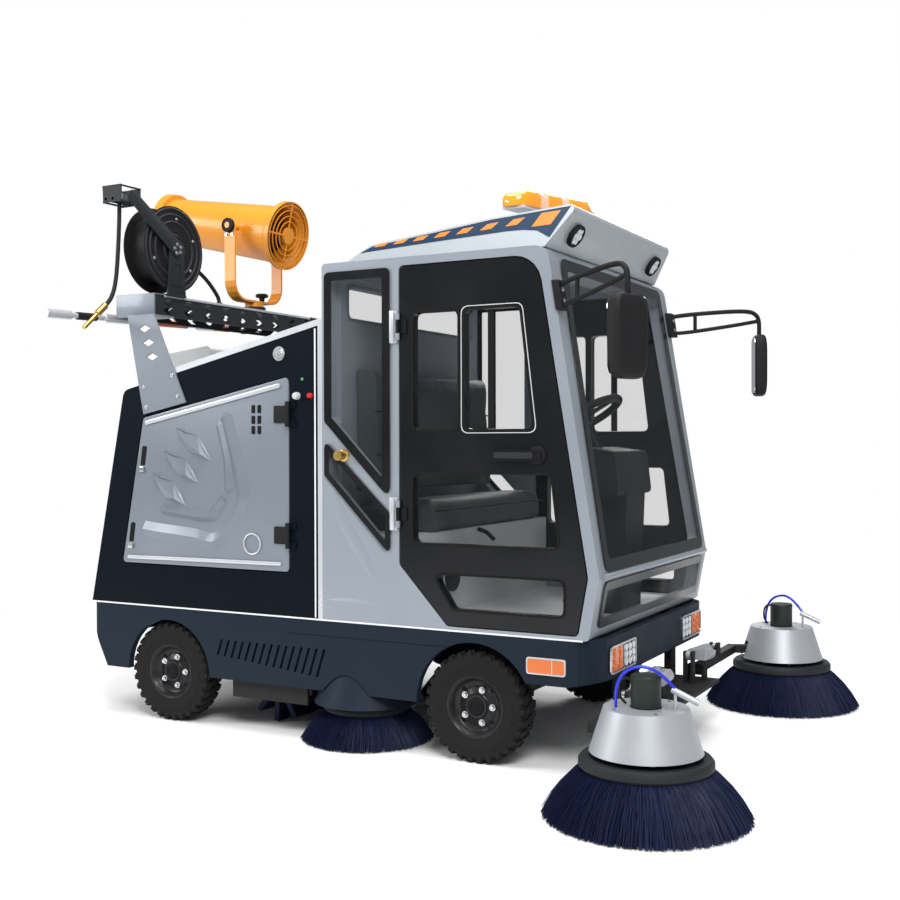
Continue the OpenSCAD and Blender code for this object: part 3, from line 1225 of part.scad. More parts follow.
// Brush arm with its pivot, lug, motor and lead
motor_top_z = 440;
motor_flange_r = 68;
module brush_arm(side) color([0.1, 0.11, 0.13]) centred() handed(side) difference() {
    union() {
        box([arm_x - arm_half, arm_pivot_y, arm_low_z], [arm_x + arm_half, arm_bend_y + arm_half,
            arm_high_z]);
        pin_x(arm_x - arm_barrel_w / 2, arm_x + arm_barrel_w / 2, arm_pivot_y, arm_pivot_z, arm_barrel_r);
        let (d = [brush_x - arm_x, brush_y - arm_bend_y]) translate([arm_x, arm_bend_y, 0]) rotate([0,
            0, angle_of(d)])
            box([0, -arm_half, arm_low_z], [norm(d), arm_half, arm_high_z]);
        translate([brush_x, brush_y, arm_low_z]) cylinder(h = motor_top_z - arm_low_z, r = motor_r);
        translate([brush_x, brush_y, cover_top_z - 3 * cover_t]) cylinder(h = 2 * cover_t,
            r = motor_flange_r);
        ear_pair(arm_x, act_eye_w + ear_t / 2, lug_y, arm_high_z - over, lug_z + 2 * act_pin_r,
            2 * act_pin_r);
        pin_x(arm_x - act_eye_w / 2 - ear_t, arm_x + act_eye_w / 2 + ear_t, lug_y, lug_z, act_pin_r);
    }
    pin_x(arm_x - arm_barrel_w, arm_x + arm_barrel_w, arm_pivot_y, arm_pivot_z, arm_pin_r + shaft_gap);
}
// Cone cover, open on the side where the arm enters, with the spray nozzle
cover_t = 4;
cover_low_z = 205;
nozzle_x = 94;
spray_z = 405;
module brush_cover(side) color([0.72, 0.74, 0.77]) centred() handed(side) translate([brush_x, brush_y, 0]) {
    difference() {
        rotate_extrude() polygon([[cover_low_r, cover_low_z], [cover_top_r, cover_top_z],
            [motor_r + cover_t, cover_top_z],
            [motor_r + cover_t, cover_top_z - cover_t], [cover_top_r - cover_t, cover_top_z - cover_t],
                [cover_low_r - cover_t, cover_low_z]]);
        let (d = [brush_x - arm_x, brush_y - arm_bend_y]) rotate([0, 0, 180 + angle_of(d)])
            box([motor_r, -2 * arm_half, cover_low_z - over], [2 * cover_low_r, 2 * arm_half,
                arm_high_z + 2 * over]);
    }
    translate([nozzle_x, 0, cover_top_z - cover_t / 2]) cylinder(h = spray_z - cover_top_z,
        r = spray_d / 2);
    rod([nozzle_x - over, 0, spray_z], [nozzle_x + spray_reach, 0, spray_z - spray_drop], spray_d);
}
module spray_hose(side) color([0.04, 0.15, 0.85]) centred() handed(side) tube(spray_route, spray_d);

// Lift actuator: housing with a side motor, and its rod
act_line = [0, lug_y - act_y, lug_z - act_z];
act_len = norm(act_line);
act_r = 24;
act_bore_r = 10;
act_rod_r = 9;
act_house_len = 250;
act_motor_r = 22;
act_motor_gap = 4;
act_eye_r = 20;
rod_eye_r = 18;
rod_eye_w = 12;
rod_eye_slack = 3;
module at_actuator() translate([arm_x, act_y, act_z]) rotate([atan2(act_line[2], act_line[1]), 0, 0])
    children();
module actuator(side) color([0.55, 0.57, 0.6]) centred() handed(side) at_actuator() difference() {
    union() {
        pin_y(1.5 * act_eye_r, act_house_len, 0, 0, act_r);
        pin_x(-act_eye_w / 2, act_eye_w / 2, 0, 0, act_eye_r);
        box([-act_eye_w / 2, 0, -act_eye_r / 2], [act_eye_w / 2, 2 * act_eye_r, act_eye_r / 2]);
        pin_y(2 * act_eye_r, act_house_len / 2, act_r + act_motor_r + act_motor_gap, 0, act_motor_r);
        box([-act_r / 2, 1.25 * act_eye_r, -0.8 * act_r], [act_r + 1.5 * act_motor_r, 2.5 * act_eye_r,
            0.8 * act_r]);
    }
    pin_y(3 * act_eye_r, act_house_len + over, 0, 0, act_bore_r);
    pin_x(-act_eye_w, act_eye_w, 0, 0, act_pin_r + shaft_gap);
}
module actuator_rod(side) color([0.8, 0.81, 0.83]) centred() handed(side) at_actuator() difference() {
    union() {
        pin_y(0.4 * act_len, act_len - rod_eye_r / 2, 0, 0, act_rod_r);
        pin_x(-rod_eye_w / 2, rod_eye_w / 2, act_len, 0, rod_eye_r);
    }
    pin_x(-rod_eye_w, rod_eye_w, act_len, 0, act_pin_r + rod_eye_slack);
}

// Fixed cone covers of the middle brushes, hung from the frame by a post
mid_post_r = 30;
module mid_brush_covers() color([0.2, 0.25, 0.31]) centred() both_sides() translate([mid_x, mid_y, 0]) {
    rotate_extrude() polygon([[mid_cover_low_r, mid_cover_low_z], [mid_cover_top_r, mid_cover_top_z],
        [0, mid_cover_top_z],
        [0, mid_cover_top_z - mid_top_t], [mid_cover_top_r - mid_top_t, mid_cover_top_z - mid_top_t],
            [mid_cover_low_r - mid_top_t, mid_cover_low_z]]);
    translate([0, 0, mid_cover_top_z - mid_top_t / 2])
        cylinder(h = waist_z - outrigger_h - mid_cover_top_z + mid_top_t / 2, r = mid_post_r);
}

// Main broom: shaft, core and stepped rows of bristle, under a hood
broom_z = broom_r + tip_z;
broom_core_r = 60;
broom_shaft_r = 15;
broom_rows = 10;
broom_steps = 6;
broom_row_t = 22;
broom_step_turn = 9;
broom_row_gap = 3;
hood_gap = 24;
hood_t = 5;
hood_end_t = 12;
hood_end = broom_len / 2 + over;
flap_t = 12;
flap_low_z = 130;
flap_high_z = 260;
flap_rear_x = 319;
flap_front_x = 690;
broom_row_reach = sqrt(broom_r * broom_r - broom_row_t * broom_row_t / 4);
module main_broom() color([0.07, 0.08, 0.14]) centred() translate([broom_x, 0, broom_z]) {
    pin_y(-hood_end - hood_end_t, hood_end + hood_end_t, 0, 0, broom_shaft_r);
    pin_y(-broom_len / 2, broom_len / 2, 0, 0, broom_core_r);
    step = broom_len / broom_steps;
    for (k = [0:broom_steps - 1]) for (i = [0:broom_rows - 1])
        rotate([0, 360 / broom_rows * i + broom_step_turn * abs(k - (broom_steps - 1) / 2), 0])
            translate([0, k * step - broom_len / 2, 0])
                box([broom_core_r - over, broom_row_gap, -broom_row_t / 2],
                    [broom_row_reach, step - broom_row_gap, broom_row_t / 2]);
}
module broom_hood() color([0.09, 0.09, 0.1]) centred() {
    translate([broom_x, 0, broom_z]) {
        difference() {
            union() {
                pin_y(-hood_end - hood_end_t, hood_end + hood_end_t, 0, 0, broom_r + hood_gap + hood_t);
                both_sides() box([-rail_w, rail_y - rail_w / 2, broom_r], [rail_w, rail_y + rail_w / 2,
                    rail_low_z - broom_z]);
            }
            pin_y(-hood_end, hood_end, 0, 0, broom_r + hood_gap);
            pin_y(-2 * hood_end, 2 * hood_end, 0, 0, broom_shaft_r + shaft_gap);
            box([-2 * broom_r, -2 * hood_end, -2 * broom_r], [2 * broom_r, 2 * hood_end,
                -2 * broom_shaft_r]);
        }
    }
    both_sides() box([flap_rear_x, inner_y - flap_t, flap_low_z], [flap_front_x, inner_y, flap_high_z]);
}

module cab_door_right() cab_door(right);
module cab_door_left() cab_door(left);
module cab_door_glass_right() cab_door_glass(right);
module cab_door_glass_left() cab_door_glass(left);
module side_door_right() side_door(right);
module side_door_left() side_door(left);

chassis_frame();
axles();
skirt();
hopper_body();
body_trim();
filter_cover();
cab_frame();
cab_floor();
cab_glass();
roof();
lamps();
beacon();
mirrors();
seat();
steering_console();
steering_wheel();
battery_pack();
cab_door_right();
cab_door_left();
cab_door_glass_right();
cab_door_glass_left();
side_door_right();
side_door_left();
rear_door();
rack_struts();
rack_beam();
cannon_yoke();
cannon_barrel();
cannon_fan();
reel_frame();
reel_drum();
reel_hose();
hose_end();
supply_hose();
lance();
wheel_front_right();
wheel_front_left();
wheel_rear_right();
wheel_rear_left();
knuckle(right);  // knuckle_right
knuckle(left);  // knuckle_left
brush_arm(right);  // brush_arm_right
brush_arm(left);  // brush_arm_left
brush_cover(right);  // brush_cover_right
brush_cover(left);  // brush_cover_left
spray_hose(right);  // spray_hose_right
spray_hose(left);  // spray_hose_left
front_brush(right);  // front_brush_right
front_brush(left);  // front_brush_left
actuator(right);  // actuator_right
actuator(left);  // actuator_left
actuator_rod(right);  // actuator_rod_right
actuator_rod(left);  // actuator_rod_left
mid_brush_covers();
mid_brush(right);  // mid_brush_right
mid_brush(left);  // mid_brush_left
main_broom();
broom_hood();
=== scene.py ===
import bpy
import bmesh
import math
from mathutils import Matrix, Vector


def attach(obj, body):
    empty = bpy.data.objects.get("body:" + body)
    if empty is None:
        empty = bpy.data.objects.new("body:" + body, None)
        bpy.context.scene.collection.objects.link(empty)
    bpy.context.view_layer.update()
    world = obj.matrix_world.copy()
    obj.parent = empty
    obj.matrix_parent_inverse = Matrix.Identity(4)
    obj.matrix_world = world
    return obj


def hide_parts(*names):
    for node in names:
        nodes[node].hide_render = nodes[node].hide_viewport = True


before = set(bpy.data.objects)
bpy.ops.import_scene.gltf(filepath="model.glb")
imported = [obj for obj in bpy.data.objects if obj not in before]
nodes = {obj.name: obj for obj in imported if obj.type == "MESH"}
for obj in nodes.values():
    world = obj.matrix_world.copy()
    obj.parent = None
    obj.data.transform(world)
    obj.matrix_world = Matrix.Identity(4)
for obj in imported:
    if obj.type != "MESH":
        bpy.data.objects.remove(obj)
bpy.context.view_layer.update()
scene = bpy.context.scene
scene.view_settings.view_transform = "Standard"
rearAxle = -0.889104  # the rear axle in the shared frame
finishes = {}


def spot(x, y, z):
    # millimetres from the rear axle, as the solids are drawn, to metres in the shared frame
    return Vector((x / 1000 + rearAxle, y / 1000, z / 1000))


# camera where the photograph was taken from
camera = bpy.data.objects.new("photoCamera", bpy.data.cameras.new("photoCamera"))
scene.collection.objects.link(camera)
camera.data.sensor_width = 36
camera.data.lens = 47.377
camera.location = (2.520, -4.445, 1.170)
camera.rotation_euler = (math.radians(90 - 0.402), math.radians(0.141), math.radians(28.422))
camera.data.clip_end = 100
scene.camera = camera


# node helper: values go on sockets, sockets are linked
def addNode(tree, kind, settings=None, **links):
    node = tree.nodes.new(kind)
    for key, value in (settings or {}).items():
        setattr(node, key, value)
    for key, value in links.items():
        name = key.rstrip("_")
        numbered = name[0] == "i" and name[1:].isdigit()
        target = node.inputs[int(name[1:]) if numbered else name.replace("_", " ")]
        if isinstance(value, bpy.types.NodeSocket):
            tree.links.new(value, target)
        else:
            target.default_value = value
    return node


def finishMaterial(name, colour, second=None, rough=0.5, metal=0.0, coat=0.0, grain=40.0, bump=0.1, bumpScale=300.0,
                   dust=0.0, alpha=1.0, sheen=0.0, stretch=(1, 1, 1), glow=0.0, shine=0.5):
    material = bpy.data.materials.new(name)
    material.use_nodes = True
    tree = material.node_tree
    shader = tree.nodes["Principled BSDF"]
    where = addNode(tree, "ShaderNodeTexCoord")
    placed = addNode(tree, "ShaderNodeMapping", Vector=where.outputs["Object"], Scale=stretch)
    cloud = addNode(tree, "ShaderNodeTexNoise", Vector=placed.outputs[0], Scale=grain / 10, Detail=5.0, Roughness=0.6)
    fine = addNode(tree, "ShaderNodeTexNoise", Vector=placed.outputs[0], Scale=bumpScale, Detail=3.0)
    second = second or tuple(c * 0.8 for c in colour)
    tint = addNode(tree, "ShaderNodeMix", {"data_type": "RGBA"}, i0=cloud.outputs["Fac"], i6=(*colour, 1),
                   i7=(*second, 1))
    colourOut = tint.outputs[2]
    if dust:
        height = addNode(tree, "ShaderNodeSeparateXYZ", Vector=where.outputs["Object"])
        low = addNode(tree, "ShaderNodeMapRange", i0=height.outputs[2], i1=0.1, i2=0.62, i3=dust, i4=0.0)
        patchy = addNode(tree, "ShaderNodeMath", {"operation": "MULTIPLY"}, i0=low.outputs[0],
                         i1=cloud.outputs["Fac"])
        dusty = addNode(tree, "ShaderNodeMix", {"data_type": "RGBA"}, i0=patchy.outputs[0], i6=colourOut,
                        i7=(0.33, 0.3, 0.26, 1))
        colourOut = dusty.outputs[2]
    tree.links.new(colourOut, shader.inputs["Base Color"])
    roughness = addNode(tree, "ShaderNodeMapRange", i0=cloud.outputs["Fac"], i1=0.3, i2=0.7,
                        i3=max(rough - 0.08, 0.02), i4=min(rough + 0.1, 1))
    tree.links.new(roughness.outputs[0], shader.inputs["Roughness"])
    shader.inputs["Metallic"].default_value = metal
    shader.inputs["Coat Weight"].default_value = coat
    shader.inputs["Specular IOR Level"].default_value = shine
    shader.inputs["Coat Roughness"].default_value = 0.06
    shader.inputs["Alpha"].default_value = alpha
    shader.inputs["Sheen Weight"].default_value = sheen
    if glow:
        shader.inputs["Emission Color"].default_value = (*colour, 1)
        shader.inputs["Emission Strength"].default_value = glow
    if bump:
        raised = addNode(tree, "ShaderNodeBump", Height=fine.outputs["Fac"], Strength=bump, Distance=0.002)
        tree.links.new(raised.outputs[0], shader.inputs["Normal"])
    finishes[name] = material


finishMaterial("hopperNavy", (0.002, 0.0048, 0.0088), (0.003, 0.006, 0.0105), 0.5, bump=0.05, dust=0.02, shine=0.06)
finishMaterial("skirtSlate", (0.0085, 0.0155, 0.0265), (0.011, 0.019, 0.031), 0.5, bump=0.06, dust=0.03, shine=0.1)
finishMaterial("cabSilver", (0.3, 0.33, 0.37), (0.26, 0.29, 0.33), 0.38, metal=0.3, coat=0.2, bump=0.04,
               bumpScale=500)
# the cab's silver paint made darker for doors, struts and beam caps: painted shade
finishMaterial("doorSilverPaintedShade", (0.2, 0.225, 0.26), (0.175, 0.2, 0.232), 0.4, metal=0.25, coat=0.2, bump=0.04,
               bumpScale=500)
# the cab's silver paint made lighter for the roof: painted light for its lit top
finishMaterial("roofSilverPaintedLight", (0.42, 0.45, 0.48), (0.37, 0.4, 0.43), 0.38, metal=0.2, coat=0.2, bump=0.04,
               bumpScale=500)
finishMaterial("trimSilver", (0.62, 0.64, 0.67), (0.54, 0.56, 0.6), 0.34, metal=0.5, bump=0.05)
finishMaterial("doorBlack", (0.005, 0.0055, 0.0065), (0.007, 0.0075, 0.0085), 0.2, bump=0.01, shine=0.32)
finishMaterial("frameBlack", (0.009, 0.009, 0.01), (0.015, 0.015, 0.016), 0.6, bump=0.12, dust=0.06, shine=0.2)
finishMaterial("rackCharcoal", (0.016, 0.018, 0.021), (0.022, 0.024, 0.027), 0.55, bump=0.12, shine=0.22)
finishMaterial("cannonOrange", (0.78, 0.3, 0.018), (0.72, 0.26, 0.014), 0.4, coat=0.2, bump=0.08)
finishMaterial("coverAlloy", (0.5, 0.52, 0.55), (0.42, 0.44, 0.47), 0.42, metal=0.55, bump=0.1)
finishMaterial("steelBright", (0.62, 0.63, 0.65), (0.5, 0.51, 0.53), 0.28, metal=1.0, bump=0.1, bumpScale=700)
finishMaterial("plasticBlack", (0.007, 0.007, 0.008), (0.011, 0.011, 0.012), 0.58, bump=0.25, bumpScale=900,
               shine=0.2)
finishMaterial("plasticGrey", (0.55, 0.56, 0.57), (0.48, 0.49, 0.5), 0.5, bump=0.15, bumpScale=700)
finishMaterial("cabWhite", (0.62, 0.63, 0.64), (0.55, 0.56, 0.57), 0.5, bump=0.1)
finishMaterial("amberLens", (0.7, 0.15, 0.006), (0.58, 0.11, 0.004), 0.16, coat=0.4, bump=0.02, glow=0.03)
finishMaterial("whiteLens", (0.75, 0.77, 0.8), (0.6, 0.63, 0.68), 0.1, coat=0.6, bump=0.02)
finishMaterial("redLens", (0.6, 0.015, 0.01), (0.5, 0.01, 0.01), 0.15, coat=0.5, bump=0.02)
finishMaterial("windowGlass", (0.02, 0.026, 0.028), (0.024, 0.03, 0.032), 0.03, coat=0.3, bump=0.0, alpha=0.1)
finishMaterial("clearLens", (0.9, 0.68, 0.55), (0.85, 0.6, 0.45), 0.08, coat=0.6, bump=0.0, alpha=0.75, glow=0.1)
finishMaterial("amberGlow", (0.95, 0.33, 0.012), (0.9, 0.24, 0.006), 0.1, coat=0.8, grain=160, bump=0.02, glow=0.18)
finishMaterial("seatVinyl", (0.045, 0.054, 0.053), (0.055, 0.064, 0.062), 0.55, bump=0.4, bumpScale=420, sheen=0.15,
               shine=0.35)
finishMaterial("tyreRubber", (0.006, 0.006, 0.0065), (0.01, 0.01, 0.01), 0.8, bump=0.3, bumpScale=500, dust=0.03,
               shine=0.18)
finishMaterial("rimBlack", (0.007, 0.007, 0.008), (0.011, 0.011, 0.012), 0.4, coat=0.1, bump=0.08, dust=0.03,
               shine=0.25)
finishMaterial("bristleNavy", (0.008, 0.014, 0.06), (0.006, 0.008, 0.02), 0.6, bump=0.0, grain=220, shine=0.2)
finishMaterial("plateDark", (0.011, 0.013, 0.017), (0.017, 0.019, 0.023), 0.6, bump=0.2, dust=0.03, shine=0.2)
finishMaterial("hoseBlack", (0.007, 0.007, 0.008), (0.012, 0.012, 0.012), 0.5, bump=0.2, bumpScale=800, shine=0.25)
finishMaterial("hoseBlue", (0.004, 0.02, 0.62), (0.004, 0.016, 0.5), 0.3, coat=0.3, bump=0.05)
finishMaterial("brassWarm", (0.62, 0.42, 0.13), (0.5, 0.33, 0.1), 0.3, metal=1.0, bump=0.06)
# dark blue of the printed roof stripe, also used as painted shade for the gap under the visor
finishMaterial("stripeBlueAndGapShade", (0.013, 0.038, 0.078), (0.011, 0.032, 0.066), 0.4, bump=0.03, shine=0.25)
finishMaterial("lineWhite", (0.8, 0.82, 0.84), (0.72, 0.74, 0.76), 0.35, bump=0.0)
finishMaterial("stripeOrange", (0.8, 0.23, 0.03), (0.72, 0.19, 0.025), 0.35, coat=0.2, bump=0.03)
finishMaterial("motorGreen", (0.014, 0.02, 0.018), (0.018, 0.025, 0.022), 0.5, bump=0.1, shine=0.3)
finishMaterial("gripOrange", (0.55, 0.13, 0.03), (0.45, 0.1, 0.025), 0.5, bump=0.1)
finishMaterial("mirrorFace", (0.85, 0.87, 0.88), (0.82, 0.84, 0.85), 0.03, metal=1.0, bump=0.0)
finishMaterial("batteryGrey", (0.05, 0.05, 0.055), (0.07, 0.07, 0.075), 0.6, bump=0.2)
finishMaterial("sealBlack", (0.005, 0.005, 0.005), (0.008, 0.008, 0.008), 0.65, bump=0.1, shine=0.15)
finishMaterial("buttonRed", (0.55, 0.01, 0.01), (0.45, 0.01, 0.01), 0.3, coat=0.3, bump=0.02)
finishMaterial("buttonGreen", (0.01, 0.3, 0.06), (0.01, 0.25, 0.05), 0.3, coat=0.3, bump=0.02)


def dress(finish, *names):
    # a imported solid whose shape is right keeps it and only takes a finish
    for name in names:
        solid = nodes[name]
        if solid.material_slots:
            for part in solid.material_slots:
                part.material = finishes[finish]
        else:
            solid.data.materials.append(finishes[finish])


def settle(name, shape, finish, body, smooth=40, replaced=(), bevel=0.0, tidied=True):
    # bmesh or mesh to a finished piece at the origin, riding its body
    if isinstance(shape, bmesh.types.BMesh):
        mesh = bpy.data.meshes.new(name)
        if tidied:
            cleaned(shape, bevel)
        shape.to_mesh(mesh)
        shape.free()
    else:
        mesh = shape
    if finish:
        mesh.materials.clear()
        mesh.materials.append(finishes[finish])
    if smooth:
        mesh.shade_smooth()
        mesh.set_sharp_from_angle(angle=math.radians(smooth))
    piece = bpy.data.objects.new(name, mesh)
    scene.collection.objects.link(piece)
    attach(piece, body)
    if replaced:
        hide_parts(*replaced)


def smoothRoute(points, steps=6):
    # Catmull-Rom through the route's own points
    out = []
    for i in range(len(points) - 1):
        p0, p1, p2 = points[max(i - 1, 0)], points[i], points[i + 1]
        p3 = points[min(i + 2, len(points) - 1)]
        for k in range(steps):
            t = k / steps
            out.append(0.5 * ((2 * p1) + (p2 - p0) * t + (2 * p0 - 5 * p1 + 4 * p2 - p3) * t * t
                              + (3 * p1 - p0 - 3 * p2 + p3) * t * t * t))
    return out + [points[-1]]


def hose(name, points, diameter, finish, body, replaced):
    path = smoothRoute(points)
    curve = bpy.data.curves.new(name, "CURVE")
    curve.dimensions = "3D"
    curve.bevel_depth = diameter / 2
    curve.bevel_resolution = 4
    curve.use_fill_caps = True
    line = curve.splines.new("POLY")
    line.points.add(len(path) - 1)
    for point, place in zip(line.points, path):
        point.co = (*place, 1)
    curve.materials.append(finishes[finish])
    piece = bpy.data.objects.new(name, curve)
    scene.collection.objects.link(piece)
    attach(piece, body)
    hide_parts(replaced)


# hoses on the routes of their solids
hoseRoutes = {
    "reel": [(-151, -755, 2190), (-151, -755, 2140), (-151, -756, 2100), (-151, -758, 2060), (-151, -760, 2020),
             (-151, -763, 1980), (-151, -766, 1940), (-151, -770, 1900), (-151, -775, 1860), (-151, -782, 1825),
             (-151, -793, 1790), (-151, -812, 1758), (-151, -838, 1732)],
    "supply": [(-240, -460, 2010), (-240, -420, 2009), (-240, -370, 2006), (-240, -320, 2001), (-238, -275, 1993),
               (-231, -232, 1981), (-221, -192, 1963), (-209, -157, 1938), (-197, -127, 1906), (-186, -103, 1872),
               (-179, -88, 1845), (-176, -84, 1822)],
    "spray": [(2110, 965, 343), (2110, 966, 370), (2113, 968, 400), (2122, 968, 430), (2140, 966, 454),
              (2165, 961, 469),
              (2195, 952, 474), (2224, 942, 465), (2248, 932, 448), (2268, 924, 428), (2283, 919, 410)],
    "washDiameter": 0.018, "sprayDiameter": 0.010,
}
hose("reelHose", [spot(*p) for p in hoseRoutes["reel"]], hoseRoutes["washDiameter"], "hoseBlack", "chassis",
     "reel_hose")
hose("supplyHose", [spot(*p) for p in hoseRoutes["supply"]], hoseRoutes["washDiameter"], "hoseBlack", "chassis",
     "supply_hose")
for side, sign in (("right", -1), ("left", 1)):
    hose("sprayHose" + side.capitalize(), [spot(x, sign * y, z) for x, y, z in hoseRoutes["spray"]],
         hoseRoutes["sprayDiameter"],
         "hoseBlue", "brush_arm_" + side, "spray_hose_" + side)
print("camera and hoses made")


# mesh helpers
def addBox(bm, low, high):
    for v in bmesh.ops.create_cube(bm, size=1.0)["verts"]:
        v.co = Vector((low[i] + (v.co[i] + 0.5) * (high[i] - low[i]) for i in range(3)))


def addTurned(bm, profile, matrix, steps=48, closed=False):
    # profile of (radius, height) turned about the matrix's Z
    rings = []
    for radius, height in profile:
        if radius < 1e-6:
            rings.append([bm.verts.new(matrix @ Vector((0, 0, height)))])
        else:
            turns = [2 * math.pi * k / steps for k in range(steps)]
            rings.append([bm.verts.new(matrix @ Vector((radius * math.cos(a), radius * math.sin(a), height)))
                          for a in turns])
    pairs = list(zip(rings, rings[1:])) + ([(rings[-1], rings[0])] if closed else [])
    for a, b in pairs:
        for k in range(steps):
            n = (k + 1) % steps
            corners = [a[k % len(a)], a[n % len(a)], b[n % len(b)], b[k % len(b)]]
            distinct = list(dict.fromkeys(corners))
            if len(distinct) > 2:
                bm.faces.new(distinct)


def facing(origin, direction):
    return Matrix.Translation(origin) @ Vector(direction).to_track_quat("Z", "Y").to_matrix().to_4x4()


def addPrism(bm, outline, low, high, place):
    # outline of 2-D points between two heights, place turns (u, v, height) into the frame
    bottom = [bm.verts.new(place(u, v, low)) for u, v in outline]
    top = [bm.verts.new(place(u, v, high)) for u, v in outline]
    count = len(outline)
    bm.faces.new(bottom[::-1])
    bm.faces.new(top)
    for k in range(count):
        n = (k + 1) % count
        bm.faces.new([bottom[k], bottom[n], top[n], top[k]])


def roundedOutline(points, radius, steps=5):
    out = []
    count = len(points)
    for i, q in enumerate(points):
        p, s = Vector(points[i - 1]), Vector(points[(i + 1) % count])
        q = Vector(q)
        r = radius[i] if isinstance(radius, (list, tuple)) else radius
        u, w = (p - q).normalized(), (s - q).normalized()
        half = u.angle(w) / 2
        reach = min(r / math.tan(half), 0.49 * min((p - q).length, (s - q).length))
        a, b = q + u * reach, q + w * reach
        for k in range(steps + 1):
            t = k / steps
            out.append(tuple((1 - t) ** 2 * a + 2 * t * (1 - t) * q + t * t * b))
    return out


def cleaned(bm, bevel=0.0):
    bmesh.ops.remove_doubles(bm, verts=bm.verts, dist=1e-6)
    if bevel:
        sharp = [e for e in bm.edges if len(e.link_faces) == 2 and e.calc_face_angle(0) > 0.5]
        bmesh.ops.bevel(bm, geom=sharp, offset=bevel, segments=2, affect="EDGES", profile=0.6, clamp_overlap=True)
    bmesh.ops.recalc_face_normals(bm, faces=bm.faces)
    return bm


def single(add, *shape, **more):
    # a piece of one form
    bm = bmesh.new()
    add(bm, *shape, **more)
    return bm


# geometry node trees: each is grown on an empty mesh and turned into a plain one
def newTree(name, **inputs):
    tree = bpy.data.node_groups.new(name, "GeometryNodeTree")
    tree.interface.new_socket("Geometry", in_out="INPUT", socket_type="NodeSocketGeometry")
    for label, kind in inputs.items():
        tree.interface.new_socket(label, in_out="INPUT", socket_type="NodeSocket" + kind)
    tree.interface.new_socket("Geometry", in_out="OUTPUT", socket_type="NodeSocketGeometry")
    return tree, addNode(tree, "NodeGroupInput").outputs, addNode(tree, "NodeGroupOutput")


def math2(tree, operation, a, b=0.0):
    return addNode(tree, "ShaderNodeMath", {"operation": operation}, i0=a, i1=b).outputs[0]


def endTree(tree, given, out, instances):
    real = addNode(tree, "GeometryNodeRealizeInstances", Geometry=instances)
    coloured = addNode(tree, "GeometryNodeSetMaterial", Geometry=real.outputs[0], Material=given["Material"])
    tree.links.new(coloured.outputs[0], out.inputs[0])


def grow(name, tree, values, finish, base=None):
    # runs a tree on a base mesh and returns the plain mesh
    holder = bpy.data.objects.new(name + "Holder", base or bpy.data.meshes.new(name + "Base"))
    scene.collection.objects.link(holder)
    modifier = holder.modifiers.new("grow", "NODES")
    modifier.node_group = tree
    for item in tree.interface.items_tree:
        if item.item_type == "SOCKET" and item.in_out == "INPUT" and item.name in values:
            modifier[item.identifier] = values[item.name]
        if item.item_type == "SOCKET" and item.in_out == "INPUT" and item.name == "Material":
            modifier[item.identifier] = finishes[finish]
    bpy.context.view_layer.update()
    mesh = bpy.data.meshes.new_from_object(holder.evaluated_get(bpy.context.evaluated_depsgraph_get()))
    mesh.name = name
    holder.modifiers.remove(modifier)
    bpy.data.objects.remove(holder)
    return mesh


def bristleTree():
    # strands between two radii that lean outwards and droop to the road
    tree, given, out = newTree("bristleRing", Count="Int", Inner="Float", Outer="Float", Height="Float",
            Reach="Float", Thickness="Float", Seed="Int", Material="Material")
    index = addNode(tree, "GeometryNodeInputIndex").outputs[0]
    share = addNode(tree, "FunctionNodeRandomValue", {"data_type": "FLOAT"}, i2=0.0, i3=1.0, ID=index,
                    Seed=given["Seed"]).outputs[1]
    angle = math2(tree, "MULTIPLY", index, 2.399963)
    radius = math2(tree, "ADD", math2(tree, "MULTIPLY", share,
            math2(tree, "SUBTRACT", given["Outer"], given["Inner"])), given["Inner"])
    cosine, sine = math2(tree, "COSINE", angle), math2(tree, "SINE", angle)
    seat = addNode(tree, "ShaderNodeCombineXYZ", i0=math2(tree, "MULTIPLY", cosine, radius),
                   i1=math2(tree, "MULTIPLY", sine, radius), i2=given["Height"])
    points = addNode(tree, "GeometryNodePoints", Count=given["Count"], Position=seat.outputs[0])
    # one strand along +X and down, drooping
    down = math2(tree, "MULTIPLY", given["Height"], -1.0)
    middle = addNode(tree, "ShaderNodeCombineXYZ", i0=math2(tree, "MULTIPLY", given["Reach"], 0.62), i1=0.0,
                     i2=math2(tree, "MULTIPLY", down, 0.35))
    tip = addNode(tree, "ShaderNodeCombineXYZ", i0=given["Reach"], i1=0.0, i2=math2(tree, "ADD", down, 0.006))
    strand = addNode(tree, "GeometryNodeCurveQuadraticBezier", Resolution=4, Start=(0, 0, 0),
                     Middle=middle.outputs[0], End=tip.outputs[0])
    profile = addNode(tree, "GeometryNodeCurvePrimitiveCircle", {"mode": "RADIUS"}, Resolution=3,
                      Radius=given["Thickness"])
    mesh = addNode(tree, "GeometryNodeCurveToMesh", Curve=strand.outputs[0], i1=profile.outputs[0])
    sway = addNode(tree, "FunctionNodeRandomValue", {"data_type": "FLOAT"}, i2=-0.3, i3=0.3, ID=index,
                   Seed=5).outputs[1]
    turnTo = addNode(tree, "ShaderNodeCombineXYZ", i0=0.0, i1=0.0, i2=math2(tree, "ADD", angle, sway))
    size = addNode(tree, "FunctionNodeRandomValue", {"data_type": "FLOAT"}, i2=0.86, i3=1.0, ID=index,
                   Seed=9).outputs[1]
    flat = addNode(tree, "ShaderNodeCombineXYZ", i0=size, i1=size,
                   i2=math2(tree, "ADD", math2(tree, "MULTIPLY", size, 0.15), 0.85))
    placed = addNode(tree, "GeometryNodeInstanceOnPoints", Points=points.outputs[0], Instance=mesh.outputs[0],
                     Rotation=turnTo.outputs[0], Scale=flat.outputs[0])
    endTree(tree, given, out, placed.outputs[0])
    return tree


